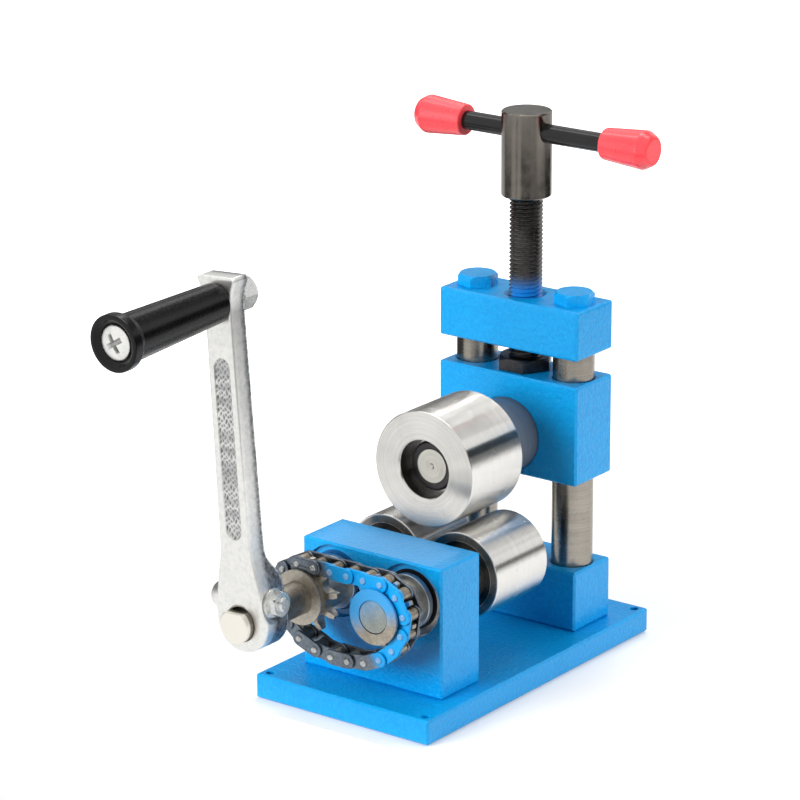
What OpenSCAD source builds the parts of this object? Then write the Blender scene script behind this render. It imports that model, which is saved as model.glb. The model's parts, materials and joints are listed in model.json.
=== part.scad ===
// Hand cranked three roller bender for bracelet strip.
// A chain turns two lower rollers together, and a screw presses a free upper roller down between them.
// X runs across the base plate, Y from the crank to the columns, Z up. The origin is under the base plate.

/* [Base plate] */
// Width of the base plate
base_w = 100; // [92:1:130]
// Length of the base plate
base_l = 180; // [170:1:200]
// Thickness of the base plate
base_t = 12; // [10:0.5:18]
// Diameter of the four corner holes
base_hole_d = 4.2; // [3:0.1:6]
// Distance of the corner holes from the edges
base_hole_inset = 5; // [4:0.5:8]
// Edge break on the base plate and the blocks
edge_break = 1; // [0.4:0.1:2]

/* [Foot screws] */
// Thread diameter of the screws under the base plate
foot_screw_d = 6; // [5:0.5:7]
// Head diameter of these screws
foot_head_d = 10; // [9:0.5:12]
// Head height of these screws
foot_head_h = 6; // [4:0.5:7]
// Length of these screws above the base plate
foot_screw_reach = 18; // [12:1:22]

/* [Bearing block] */
// Place of the middle of the bearing block along the base
front_block_y = -51; // [-56:1:-46]
// Thickness of the bearing block from front to back
front_block_t = 30; // [26:1:36]
// Metal left between a bearing and the outside of its block
bearing_wall = 1; // [0.8:0.1:4]
// Depth of the front bearings below the front face
bearing_recess = 2.5; // [1:0.5:4]

/* [Lower shafts] */
// Height of the lower roller axes above the base plate
shaft_h = 45; // [42:0.5:55]
// Diameter of the shafts at the sprockets and the crank
shaft_d = 16; // [14:0.5:16.5]
// Diameter of the shafts in the bearings
journal_d = 17; // [16.5:0.5:19]
// Diameter of the shafts inside the rollers
seat_d = 22; // [20:0.5:24]
// Diameter of the shoulder in front of the rollers
shoulder_d = 26; // [25:0.5:29]
// Outside diameter of the shaft bearings
bearing_od = 35; // [32:0.5:38]
// Width of the shaft bearings
bearing_b = 10; // [8:0.5:11]
// Diameter of the spacers between bearing and sprocket
spacer_d = 26; // [24:0.5:28]
// Length of the spacers between bearing and sprocket
spacer_l = 4.5; // [3:0.5:8]

/* [Rollers] */
// Diameter of the two driven lower rollers
lower_roller_d = 42; // [39:0.5:46]
// Diameter of the free upper roller
upper_roller_d = 56; // [48:0.5:60]
// Length of all three rollers
roller_l = 40; // [34:0.5:44]
// Gap between the two lower rollers
roller_gap = 1; // [0.6:0.1:3]
// Gap between upper and lower rollers at rest
nip_gap = 3.2; // [1:0.1:6]
// Distance from the bearing block to the rollers
roller_stand = 10.5; // [8:0.5:14]
// Edge break on the rollers
roller_edge = 1; // [0.5:0.1:2]
// Diameter of the shallow recess in the front face of the lower rollers
dish_d = 33; // [31:0.5:36]
// Depth of that recess
dish_t = 1.2; // [0.5:0.1:3]
// Width and height of the keys between roller and shaft
key_w = 6; // [4:0.5:7]
// Length of these keys
key_l = 24; // [16:1:28]
// Thread diameter of the roller end screws
end_screw_d = 8; // [6:0.5:9]
// Head diameter of the roller end screws
end_head_d = 13; // [11:0.5:15]
// Head height of the roller end screws
end_head_h = 8; // [6:0.5:9]
// Length of the roller end screws inside the shafts
end_screw_l = 20; // [14:1:26]
// Diameter of the washers under the roller end screws
end_washer_d = 32; // [28:1:36]
// Thickness of these washers
end_washer_t = 3; // [2:0.5:5]

/* [Chain drive] */
// Pitch of the roller chain
chain_pitch = 9.525; // [9:0.05:10]
// Teeth on each sprocket
sprocket_teeth = 10; // [9:1:11]
// Diameter of the chain rollers
chain_roller_d = 6.35; // [5.6:0.05:6.6]
// Width between the inner plates of the chain
chain_inner_w = 5.72; // [5.4:0.02:6.2]
// Height of the chain plates
plate_h = 7.2; // [6.4:0.1:7.6]
// Thickness of the inner plates
inner_plate_t = 1.3; // [1:0.1:1.6]
// Thickness of the outer plates
outer_plate_t = 1.1; // [0.8:0.1:1.4]
// Diameter of the chain pins
chain_pin_d = 3.3; // [2.8:0.1:3.4]
// Outside diameter of the chain bushes
chain_bush_d = 4.5; // [4.3:0.1:4.8]
// Length of a chain pin outside the outer plates
pin_proud = 0.8; // [0.4:0.1:1.2]
// Thickness of the sprocket teeth
tooth_t = 5.3; // [4.8:0.1:5.4]
// Height of the sprocket teeth above the pitch circle
tooth_above = 2.6; // [1.8:0.1:3]
// Length of the sprocket hub behind the teeth
hub_rear_l = 15; // [12:0.5:20]
// Length of the sprocket hub in front of the teeth
hub_front_l = 4.9; // [4.8:0.1:6]
// Diameter of the disc on the front of the sprocket hub
hub_disc_d = 26.4; // [24:0.2:27]
// Thickness of that disc
hub_disc_t = 1.2; // [0.8:0.1:1.2]
// Diameter of the sprocket set screws
set_screw_d = 5; // [4:0.5:6]

/* [Crank] */
// Distance from the shaft to the grip
crank_throw = 149; // [120:1:180]
// Lean of the crank away from upright
crank_lean = 3.9; // [0:0.1:20]
// Distance from the sprocket hub to the crank boss
crank_gap = 23.8; // [15:0.2:35]
// Thickness of the crank boss
boss_t = 18; // [17:0.5:22]
// Diameter of the crank boss
boss_d = 28; // [26:0.5:32]
// Thickness of the crank arm
arm_t = 11; // [8:0.5:13]
// Width of the arm near the boss
arm_w_low = 18; // [16:0.5:21]
// Width of the arm near the grip
arm_w_top = 14.6; // [13:0.5:18]
// Width of the flared end that carries the grip bolt
end_w = 21.4; // [17:0.2:26]
// Height of that end above the grip bolt
end_rise = 11.6; // [8:0.2:14]
// Width of the long recess in the front of the arm
panel_w = 9; // [6:0.5:10]
// Depth of that recess
panel_t = 0.8; // [0.4:0.1:1.5]
// Distance from the shaft to the lower end of the recess
panel_from = 39.5; // [34:0.5:50]
// Distance from the grip to the upper end of the recess
panel_short = 25.5; // [20:0.5:35]
// Length of the shaft in front of the boss
shaft_proud = 5; // [2:0.5:8]
// Depth of the flat on the shaft end
shaft_flat = 1.8; // [1.2:0.1:2.4]
// Diameter of the cotter pin
cotter_d = 9.5; // [8:0.1:10]
// Depth of the flat on the cotter pin
cotter_flat = 1.6; // [1:0.1:2]
// Thread diameter of the cotter pin
cotter_thread_d = 6.6; // [5.5:0.1:7]
// Diameter of the lug around the cotter pin
lug_d = 16.5; // [13.5:0.5:17]

/* [Grip] */
// Diameter of the grip next to its flange
grip_d = 21.6; // [18:0.2:26]
// Diameter of the grip at the crank arm
grip_in_d = 18.4; // [16:0.2:24]
// Diameter of the flange at the end of the grip
flange_d = 26; // [24:0.5:34]
// Length of the flange along the grip
flange_l = 4.5; // [3:0.5:7]
// Length of the flare between grip and flange
flare_l = 4.5; // [3:0.5:8]
// Length of the grip
grip_l = 69; // [50:0.5:90]
// Droop of the grip towards its outer end
grip_droop = 1.8; // [0:0.1:4]
// Outer diameter of the funnel in the end of the grip
grip_mouth_d = 22; // [19:0.5:23]
// Depth of that funnel
grip_mouth_t = 2.4; // [1:0.2:3]
// Diameter of the recess inside the funnel
grip_recess_d = 17; // [16.6:0.2:18.6]
// Depth of that recess
grip_recess_t = 3.4; // [3.2:0.2:7]
// Thread diameter of the grip bolt
grip_bolt_d = 8; // [6:0.5:9]
// Head diameter of the grip bolt
grip_head_d = 16; // [13:0.5:16.5]
// Head height of the grip bolt
grip_head_h = 2.8; // [2.4:0.2:5]
// Width across the flats of the grip bolt nut
grip_nut_af = 14; // [12:0.5:15]
// Height of the grip bolt nut
grip_nut_h = 9.5; // [5:0.5:12]

/* [Columns and slide] */
// Place of the columns along the base
column_y = 56; // [50:1:62]
// Distance of the columns from the middle
column_x = 28; // [26:0.5:34]
// Diameter of the columns
column_d = 20; // [16:0.5:22]
// Metal left outside the columns
column_wall = 2; // [1.5:0.5:6]
// Thickness of the foot block, slide block and crossbar
slide_t = 30; // [28:1:36]
// Height of the foot block
rear_block_h = 30; // [24:1:38]
// Height of the slide block
slide_h = 49; // [46:1:60]
// Height of the upper axle above the underside of the slide block
axle_in_slide = 19.2; // [17:0.2:22]
// Room for the slide block to rise below the crossbar
lift_room = 12.6; // [9:0.2:20]
// Height of the crossbar
crossbar_h = 24; // [20:1:30]
// Radial clearance of the slide block on the columns
column_clear = 0.06; // [0.02:0.01:0.1]
// Thread diameter of the column bolts
column_bolt_d = 10; // [8:0.5:12]
// Width across the flats of the column bolts
column_bolt_af = 17; // [14:0.5:18]
// Head height of the column bolts
column_bolt_h = 5.6; // [5:0.2:8]
// Turn of the bolt heads about their axes
column_bolt_turn = 16; // [0:1:30]
// Length of the column bolts inside the columns
column_bolt_reach = 18; // [12:1:24]

/* [Upper axle] */
// Diameter of the axle in the roller bearings
axle_d = 17; // [15:0.5:18]
// Diameter of the collar between roller and slide block
collar_d = 36; // [32:0.5:40]
// Diameter of the tail in the slide block
tail_d = 22; // [19:0.5:24]
// Depth of the axle end below the roller face
axle_recess = 6; // [4:0.5:8]
// Running gap between roller and collar
collar_gap = 0.7; // [0.3:0.1:1.5]
// Outside diameter of the roller bearings
roller_bearing_od = 28; // [27:0.5:32]
// Width of the roller bearings
roller_bearing_b = 7; // [6:0.5:9]
// Depth of the rear roller bearing below the back of the roller
rear_bearing_recess = 2; // [1:0.5:4]
// Thickness of the retaining ring on the axle
ring_t = 1.1; // [0.8:0.1:1.5]
// Diameter of the set screw that holds the axle
axle_screw_d = 8; // [6:0.5:9]

/* [Pressure screw] */
// Thread diameter of the pressure screw
screw_d = 16; // [14:0.5:18]
// Pitch of the pressure screw
screw_pitch = 2; // [1.5:0.25:3]
// Thread shown above the crossbar
screw_stand = 48; // [40:1:60]
// Diameter of the plain end in the slide block
plain_end_d = 12; // [10:0.5:12.5]
// Width across the flats of the thrust nut
thrust_nut_af = 24; // [22:0.5:26]
// Height of the thrust nut
thrust_nut_h = 6; // [4:0.5:7]
// Diameter of the retaining screw in the slide block
retainer_d = 6; // [5:0.5:7]
// Diameter of the screw head
head_d = 24; // [20:0.5:28]
// Height of the screw head
head_h = 41; // [34:0.5:46]
// Diameter of the sliding bar
bar_d = 9; // [7:0.5:10]
// Depth of the bar below the top of the head
bar_drop = 9.7; // [7:0.1:13]
// Length of the bar between the caps
bar_span = 79.4; // [60:0.2:100]
// Rest place of the bar, to the right of the middle
bar_shift = 5; // [-10:0.5:10]
// Length of the caps
cap_l = 26.5; // [20:0.5:34]
// Diameter of the caps at the inner end
cap_in_d = 15; // [13:0.5:18]
// Largest diameter of the caps
cap_out_d = 18.6; // [18:0.2:24]
// Diameter of the flat end of the caps
cap_end_d = 13.6; // [10:0.2:16]
// Length of the bevel at the end of the caps
cap_bevel = 4.5; // [2:0.5:6]
// Length of the bar inside a cap
bar_in_cap = 18; // [12:0.5:19]

/* [Hidden] */
$fn = 64;

// Clearances and small sizes that belong to no single piece
run_gap = 0.05;
end_gap = 0.3;
ball_gap = 0.05;
thread_gap = 0.1;
cut = 1;
small_break = 0.6;
ball_share = 0.55;
groove_share = 0.28;
seal_t = 0.8;
seal_sunk = 0.3;
seal_gap = 0.25;
spacer_step = 1.2;
socket_share = 0.5;
hex_socket_share = 0.58;
cross_share = 0.62;

// Heights and places along the frame
axis_z = base_t + shaft_h;
roller_x = lower_roller_d / 2 + roller_gap / 2;
block_front = front_block_y - front_block_t / 2;
block_back = front_block_y + front_block_t / 2;
front_block_w = 2 * (roller_x + bearing_od / 2 + bearing_wall);
front_block_h = shaft_h + bearing_od / 2 + bearing_wall;
front_screw_x = roller_x + foot_screw_d;
roller_front = block_back + roller_stand;
roller_back = roller_front + roller_l;
nip_span = (upper_roller_d + lower_roller_d) / 2 + nip_gap;
upper_z = axis_z + sqrt(nip_span * nip_span - roller_x * roller_x);
rear_w = 2 * (column_x + column_d / 2 + column_wall);
slide_front = column_y - slide_t / 2;
slide_back = column_y + slide_t / 2;
slide_bottom = upper_z - axle_in_slide;
slide_top = slide_bottom + slide_h;
crossbar_bottom = slide_top + lift_room;
crossbar_top = crossbar_bottom + crossbar_h;
rear_screw_x = (column_x - column_d / 2) / 2;

// Bearings, spacers and sprockets along the lower shafts, from the front face of the block
front_bearing = block_front + bearing_recess;
rear_bearing = block_back - bearing_b;
spacer_front = front_bearing - spacer_l;
teeth_back = spacer_front - hub_rear_l;
teeth_front = teeth_back - tooth_t;
hub_front = teeth_front - hub_front_l;
chain_y = (teeth_back + teeth_front) / 2;
boss_back = hub_front - crank_gap;
boss_front = boss_back - boss_t;
boss_mid = (boss_front + boss_back) / 2;
arm_back = boss_front + arm_t;
crank_shaft_end = boss_front - shaft_proud;
web_lip = 4;
web_d = bearing_od - 2 * web_lip;

// Upper axle and its bearings
axle_end = roller_front + axle_recess;
upper_bearing_front = axle_end + ring_t + small_break;
upper_bearing_back = roller_back - rear_bearing_recess - roller_bearing_b;
collar_front = roller_back + collar_gap;
nose_d = axle_d + 4;
roller_web_d = roller_bearing_od - 4;

// Pressure screw
plain_end_l = slide_h - axle_in_slide - tail_d / 2 - 2;
plain_end_bottom = slide_top - plain_end_l;
retainer_z = slide_top - plain_end_l / 2;
nut_bottom = slide_top + end_gap;
head_bottom = crossbar_top + screw_stand;
head_top = head_bottom + head_h;
bar_z = head_top - bar_drop;
thread_depth = 0.6 * screw_pitch;
spigot_l = head_h / 3;

// Cotter pin, in the frame of the crank
flat_h = shaft_d / 2 - shaft_flat;
cotter_h = flat_h + cotter_d / 2 - cotter_flat;
cotter_seat = boss_d / 2 - 1.8;
cotter_washer_t = 1.2;
cotter_washer_d = cotter_d + 4;
cotter_nut_h = 4.6;
cotter_nut_af = cotter_thread_d + 4.4;
cotter_lug = boss_d / 2 + 5.5;
cotter_head = cotter_lug + 0.2;
end_top = crank_throw + end_rise;
end_break = 1.6;
flare_from = crank_throw - 4;
flare_mid = crank_throw + end_rise / 2;
flare_mid_w = arm_w_top + (end_w - arm_w_top) * 0.4;
neck_rise = 16;
neck_h = boss_d / 2 + neck_rise;

// Grip along the grip bolt
grip_inner = boss_front - end_gap - grip_in_d / 2 * sin(grip_droop);
grip_outer = grip_inner - grip_l;
grip_head_seat = grip_outer + grip_recess_t - end_gap;

// Chain: ten pins a side, two on the upper strand, four seated on the sprocket and four hanging below
pitch_r = chain_pitch / (2 * sin(180 / sprocket_teeth));
tip_r = pitch_r + tooth_above;
plate_gap = 0.1;
hub_clear = 0.3;
seat_clear = 0.35;
flank_angle = 30;
hub_d = 2 * (pitch_r * cos(180 / sprocket_teeth) - plate_h / 2 - hub_clear);
tooth_step = 360 / sprocket_teeth;
first_seat = acos((2.5 * chain_pitch - roller_x) / pitch_r);
seats = 4;
hanging = 4;
slack_heading = first_seat - (seats - 1.5) * tooth_step - 90;
inner_face = chain_inner_w / 2;
outer_face = inner_face + inner_plate_t + plate_gap;
pin_end = outer_face + outer_plate_t + pin_proud;

// Heading of a hanging link: it turns from the last seated link to level, faster at first when bend is high
function heading(i, bend) = slack_heading - (180 + slack_heading) * (1 - pow(1 - i / (hanging + 1), bend));
function run_x(i, bend) = i == 0 ? 0 : run_x(i - 1, bend) + chain_pitch * cos(heading(i, bend));
function run_z(i, bend) = i == 0 ? 0 : run_z(i - 1, bend) + chain_pitch * sin(heading(i, bend));
function seat_pin(k) = [roller_x + pitch_r * cos(first_seat - k * tooth_step),
                        axis_z + pitch_r * sin(first_seat - k * tooth_step)];
// The bend at which the hanging links end half a pitch from the middle, so that the chain closes
function closing_bend(low, high, n) =
    let (mid = (low + high) / 2)
    n == 0 ? mid
    : seat_pin(seats - 1)[0] + run_x(hanging, mid) > chain_pitch / 2 ? closing_bend(mid, high, n - 1)
    : closing_bend(low, mid, n - 1);
chain_bend = closing_bend(0.3, 8, 40);
right_pins = concat(
    [for (i = [0.5, 1.5]) [i * chain_pitch, seat_pin(0)[1]]],
    [for (k = [0:seats - 1]) seat_pin(k)],
    [for (i = [1:hanging]) seat_pin(seats - 1) + [run_x(i, chain_bend), run_z(i, chain_bend)]]);
side_pins = len(right_pins);
chain_pins_at = concat(right_pins, [for (i = [side_pins - 1:-1:0]) [-right_pins[i][0], right_pins[i][1]]]);
pin_count = len(chain_pins_at);
clip_link = pin_count - 3;

// Shapes used by several pieces

// A box with every edge broken, standing on z = bottom
module broken_box(w, l, h, bottom) {
    module face(a, b)
        polygon([[-a / 2 + edge_break, -b / 2], [a / 2 - edge_break, -b / 2], [a / 2, -b / 2 + edge_break],
                 [a / 2, b / 2 - edge_break], [a / 2 - edge_break, b / 2], [-a / 2 + edge_break, b / 2],
                 [-a / 2, b / 2 - edge_break], [-a / 2, -b / 2 + edge_break]]);
    translate([0, 0, bottom + h / 2])
        intersection() {
            linear_extrude(h, center = true) face(w, l);
            rotate([90, 0, 0]) linear_extrude(l, center = true) face(w, h);
            rotate([90, 0, 90]) linear_extrude(w, center = true) face(l, h);
        }
}

// A round bar along Y
module rod_y(d, y0, y1)
    translate([0, y0, 0]) rotate([-90, 0, 0]) cylinder(d = d, h = y1 - y0);

// A flat outline in X and Z, thickened along Y
module plate_y(y0, y1)
    translate([0, y1, 0]) rotate([90, 0, 0]) linear_extrude(y1 - y0) children();

// An outline of radius and distance, turned about the Y axis
module turned_y()
    rotate([-90, 0, 0]) rotate_extrude() children();

// A hexagon head or nut standing on z = 0, with its outer corners bevelled
module hex_z(af, h) {
    corner = af / cos(30);
    intersection() {
        cylinder(d = corner, h = h, $fn = 6);
        union() {
            cylinder(d = corner + cut, h = h - (corner - af) / 2);
            translate([0, 0, h - (corner - af) / 2])
                cylinder(d1 = corner, d2 = af, h = (corner - af) / 2);
        }
    }
}

// A socket head screw standing on its thread end, with its head above z = reach
module socket_screw(d, reach, dh, hh)
    difference() {
        union() {
            cylinder(d = d, h = reach + small_break);
            translate([0, 0, reach]) cylinder(d = dh, h = hh);
        }
        translate([0, 0, reach + hh * (1 - socket_share)])
            cylinder(d = dh * hex_socket_share, h = hh, $fn = 6);
    }

// A set screw of length l standing on z = 0, with its socket at the top
module grub(d, l)
    difference() {
        cylinder(d = d, h = l);
        translate([0, 0, l * (1 - socket_share)]) cylinder(d = d * hex_socket_share, h = l, $fn = 6);
    }

// Rings and balls of a ball bearing around the Y axis, starting at y
function ball_d(di, do) = (do - di) / 2 * ball_share;
module bearing_outer(di, do, b, y) {
    pcd = (di + do) / 2;
    difference() {
        rod_y(do, y, y + b);
        rod_y(pcd + 2 * groove_share * ball_d(di, do), y - cut, y + b + cut);
        translate([0, y + b / 2, 0]) turned_y() translate([pcd / 2, 0])
            circle(d = ball_d(di, do) + 2 * ball_gap);
    }
}
module bearing_inner(di, do, b, y) {
    pcd = (di + do) / 2;
    difference() {
        rod_y(pcd - 2 * groove_share * ball_d(di, do), y, y + b);
        rod_y(di, y - cut, y + b + cut);
        translate([0, y + b / 2, 0]) turned_y() translate([pcd / 2, 0])
            circle(d = ball_d(di, do) + 2 * ball_gap);
    }
}
module balls(di, do, b, y) {
    pcd = (di + do) / 2;
    count = floor(PI * pcd / (1.5 * ball_d(di, do)));
    for (i = [0:count - 1])
        rotate([0, i * 360 / count, 0]) translate([pcd / 2, y + b / 2, 0]) sphere(d = ball_d(di, do));
}
module seal_disc(di, do, y) {
    pcd = (di + do) / 2;
    ring = groove_share * ball_d(di, do);
    difference() {
        rod_y(pcd + 2 * ring, y, y + seal_t);
        rod_y(pcd - 2 * ring + 2 * seal_gap, y - cut, y + seal_t + cut);
    }
}

// Places of the three shafts and of the crank
module at_left() translate([-roller_x, 0, axis_z]) children();
module at_right() translate([roller_x, 0, axis_z]) children();
module at_upper() translate([0, 0, upper_z]) children();
module at_crank() at_left() rotate([0, -crank_lean, 0]) children();
module at_columns() for (side = [-1, 1]) translate([side * column_x, column_y, 0]) children();

// Frame

module foot_hole(x, y)
    translate([x, y, 0]) {
        translate([0, 0, -cut]) cylinder(d = foot_screw_d, h = base_t + 2 * cut);
        translate([0, 0, -cut]) cylinder(d = foot_head_d + 1, h = foot_head_h + end_gap + cut);
    }

module tapped_foot(x, y)
    translate([x, y, base_t - cut]) cylinder(d = foot_screw_d, h = foot_screw_reach + cut);

module foot_screw(x, y) {
    thread_l = foot_screw_reach + base_t - foot_head_h - end_gap;
    translate([x, y, base_t + foot_screw_reach]) rotate([180, 0, 0])
        socket_screw(foot_screw_d, thread_l, foot_head_d, foot_head_h);
}

module base_plate() color("dodgerblue")
    difference() {
        broken_box(base_w, base_l, base_t, 0);
        for (sx = [-1, 1], sy = [-1, 1])
            translate([sx * (base_w / 2 - base_hole_inset), sy * (base_l / 2 - base_hole_inset), -cut])
                cylinder(d = base_hole_d, h = base_t + 2 * cut);
        for (side = [-1, 1]) {
            foot_hole(side * front_screw_x, front_block_y);
            foot_hole(side * rear_screw_x, column_y);
            foot_hole(side * column_x, column_y);
        }
    }

module bearing_bores()
    union() {
        rod_y(bearing_od, block_front - cut, front_bearing + bearing_b);
        rod_y(web_d, block_front, block_back);
        rod_y(bearing_od, rear_bearing, block_back + cut);
    }

module front_block() color("deepskyblue")
    difference() {
        translate([0, front_block_y, 0]) broken_box(front_block_w, front_block_t, front_block_h, base_t);
        at_left() bearing_bores();
        at_right() bearing_bores();
        for (side = [-1, 1]) tapped_foot(side * front_screw_x, front_block_y);
    }

module rear_block() color("deepskyblue")
    difference() {
        translate([0, column_y, 0]) broken_box(rear_w, slide_t, rear_block_h, base_t);
        at_columns() translate([0, 0, base_t - cut]) cylinder(d = column_d, h = rear_block_h + 2 * cut);
        at_columns() translate([0, 0, base_t + rear_block_h - small_break])
            cylinder(d1 = column_d, d2 = column_d + 4 * small_break, h = 2 * small_break);
        for (side = [-1, 1]) tapped_foot(side * rear_screw_x, column_y);
    }

module column()
    difference() {
        translate([0, 0, base_t]) cylinder(d = column_d, h = crossbar_bottom - base_t);
        translate([0, 0, base_t - cut]) cylinder(d = foot_screw_d, h = foot_screw_reach + cut);
        translate([0, 0, crossbar_bottom - column_bolt_reach])
            cylinder(d = column_bolt_d, h = column_bolt_reach + cut);
    }
module left_column() color("silver") translate([-column_x, column_y, 0]) column();
module right_column() color("silver") translate([column_x, column_y, 0]) column();

module crossbar() color("deepskyblue")
    difference() {
        translate([0, column_y, 0]) broken_box(rear_w, slide_t, crossbar_h, crossbar_bottom);
        at_columns() translate([0, 0, crossbar_bottom - cut])
            cylinder(d = column_bolt_d, h = crossbar_h + 2 * cut);
        translate([0, column_y, crossbar_bottom - cut])
            cylinder(d = screw_d + 2 * thread_gap, h = crossbar_h + 2 * cut);
        translate([0, column_y, crossbar_top - screw_pitch])
            cylinder(d1 = screw_d + 2 * thread_gap, d2 = screw_d + 2 * screw_pitch, h = screw_pitch + 0.01);
    }

module column_bolts() color("deepskyblue")
    at_columns() {
        translate([0, 0, crossbar_top]) rotate([0, 0, -column_bolt_turn])
            hex_z(column_bolt_af, column_bolt_h);
        translate([0, 0, crossbar_bottom - column_bolt_reach])
            cylinder(d = column_bolt_d, h = crossbar_h + column_bolt_reach + small_break);
    }

module front_block_screws() color("dimgray")
    for (side = [-1, 1]) foot_screw(side * front_screw_x, front_block_y);
module rear_block_screws() color("dimgray")
    for (side = [-1, 1]) foot_screw(side * rear_screw_x, column_y);
module column_foot_screws() color("dimgray")
    for (side = [-1, 1]) foot_screw(side * column_x, column_y);

// Bearings of the lower shafts

module on_both_shafts() {
    at_left() children();
    at_right() children();
}
bearings_at = [front_bearing, rear_bearing];
module bearing_outer_rings() color("silver")
    on_both_shafts() for (y = bearings_at) bearing_outer(journal_d, bearing_od, bearing_b, y);
module bearing_balls() color("silver")
    on_both_shafts() for (y = bearings_at) balls(journal_d, bearing_od, bearing_b, y);
module bearing_seals() color("black")
    on_both_shafts() {
        seal_disc(journal_d, bearing_od, front_bearing + seal_sunk);
        seal_disc(journal_d, bearing_od, rear_bearing + bearing_b - seal_sunk - seal_t);
    }
module inner_rings()
    for (y = bearings_at) bearing_inner(journal_d, bearing_od, bearing_b, y);
module left_inner_rings() color("silver") at_left() inner_rings();
module right_inner_rings() color("silver") at_right() inner_rings();

// Lower shafts, rollers and what holds them

module key_slot(deep)
    translate([-key_w / 2, roller_back - end_gap - key_l, seat_d / 2 - key_w / 2])
        cube([key_w, key_l + deep, key_w]);

module lower_shaft(front_end)
    difference() {
        turned_y()
            polygon([[0, front_end], [shaft_d / 2 - small_break, front_end],
                     [shaft_d / 2, front_end + small_break], [shaft_d / 2, spacer_front],
                     [journal_d / 2, spacer_front], [journal_d / 2, block_back],
                     [shoulder_d / 2, block_back], [shoulder_d / 2, roller_front + dish_t],
                     [seat_d / 2, roller_front + dish_t], [seat_d / 2, roller_back - end_gap],
                     [0, roller_back - end_gap]]);
        key_slot(cut);
        rod_y(end_screw_d, roller_back - end_gap - end_screw_l, roller_back);
    }

module crank_shaft() color("gray")
    difference() {
        at_left() lower_shaft(crank_shaft_end);
        at_crank() translate([-shaft_d, crank_shaft_end - cut, flat_h])
            cube([2 * shaft_d, boss_back - crank_shaft_end + cut, shaft_d]);
    }
module right_shaft() color("gray") at_right() lower_shaft(hub_front);

module lower_roller()
    difference() {
        turned_y()
            polygon([[seat_d / 2, roller_front + dish_t], [dish_d / 2, roller_front + dish_t],
                     [dish_d / 2, roller_front], [lower_roller_d / 2 - roller_edge, roller_front],
                     [lower_roller_d / 2, roller_front + roller_edge],
                     [lower_roller_d / 2, roller_back - roller_edge],
                     [lower_roller_d / 2 - roller_edge, roller_back], [seat_d / 2, roller_back]]);
        key_slot(cut);
    }
module left_roller() color("gainsboro") at_left() lower_roller();
module right_roller() color("gainsboro") at_right() lower_roller();

module roller_key() key_slot(0);
module left_roller_key() color("gray") at_left() roller_key();
module right_roller_key() color("gray") at_right() roller_key();

module end_washer()
    difference() {
        rod_y(end_washer_d, roller_back, roller_back + end_washer_t);
        rod_y(end_screw_d, roller_back - cut, roller_back + end_washer_t + cut);
    }
module left_roller_washer() color("silver") at_left() end_washer();
module right_roller_washer() color("silver") at_right() end_washer();

module end_screw()
    translate([0, roller_back - end_gap - end_screw_l, 0]) rotate([-90, 0, 0])
        socket_screw(end_screw_d, end_screw_l + end_gap + end_washer_t, end_head_d, end_head_h);
module left_roller_screw() color("dimgray") at_left() end_screw();
module right_roller_screw() color("dimgray") at_right() end_screw();

module spacer() {
    ring_d = (journal_d + bearing_od) / 2 - 2 * groove_share * ball_d(journal_d, bearing_od);
    difference() {
        union() {
            rod_y(ring_d, spacer_front, front_bearing);
            rod_y(spacer_d, spacer_front, front_bearing - spacer_step);
        }
        rod_y(journal_d, spacer_front - cut, front_bearing + cut);
    }
}
module left_spacer() color("silver") at_left() spacer();
module right_spacer() color("silver") at_right() spacer();

// Sprockets: round seats for the chain rollers, opening outwards between pointed teeth

set_screw_y = (spacer_front + teeth_back) / 2 + set_screw_d / 2;
seat_r = chain_roller_d / 2 + seat_clear;
module sprocket(first) {
    open_w = seat_r + (tip_r + cut - pitch_r) * tan(flank_angle);
    difference() {
        union() {
            intersection() {
                plate_y(teeth_front, teeth_back)
                    difference() {
                        circle(tip_r);
                        for (k = [0:sprocket_teeth - 1]) rotate(first + k * tooth_step) {
                            translate([pitch_r, 0]) circle(seat_r);
                            polygon([[pitch_r, -seat_r], [tip_r + cut, -open_w], [tip_r + cut, open_w],
                                     [pitch_r, seat_r]]);
                        }
                    }
                turned_y()
                    polygon([[0, teeth_front], [pitch_r - 1, teeth_front], [tip_r, teeth_front + tooth_t / 4],
                             [tip_r, teeth_back - tooth_t / 4], [pitch_r - 1, teeth_back], [0, teeth_back]]);
            }
            rod_y(hub_d, hub_front, spacer_front);
            rod_y(hub_disc_d, hub_front, hub_front + hub_disc_t);
        }
        rod_y(shaft_d, hub_front - cut, spacer_front + cut);
        translate([0, set_screw_y, 0]) cylinder(d = set_screw_d, h = hub_d);
    }
}
module left_sprocket() color("rosybrown") at_left() sprocket(180 - first_seat);
module right_sprocket() color("rosybrown") at_right() sprocket(first_seat);

module sprocket_screw()
    translate([0, set_screw_y, shaft_d / 2]) grub(set_screw_d, (hub_d - shaft_d) / 2 - 0.2);
module left_sprocket_screw() color("dimgray") at_left() sprocket_screw();
module right_sprocket_screw() color("dimgray") at_right() sprocket_screw();

// Chain

module at_pin(j) translate([chain_pins_at[j][0], chain_y, chain_pins_at[j][1]]) children();

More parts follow.
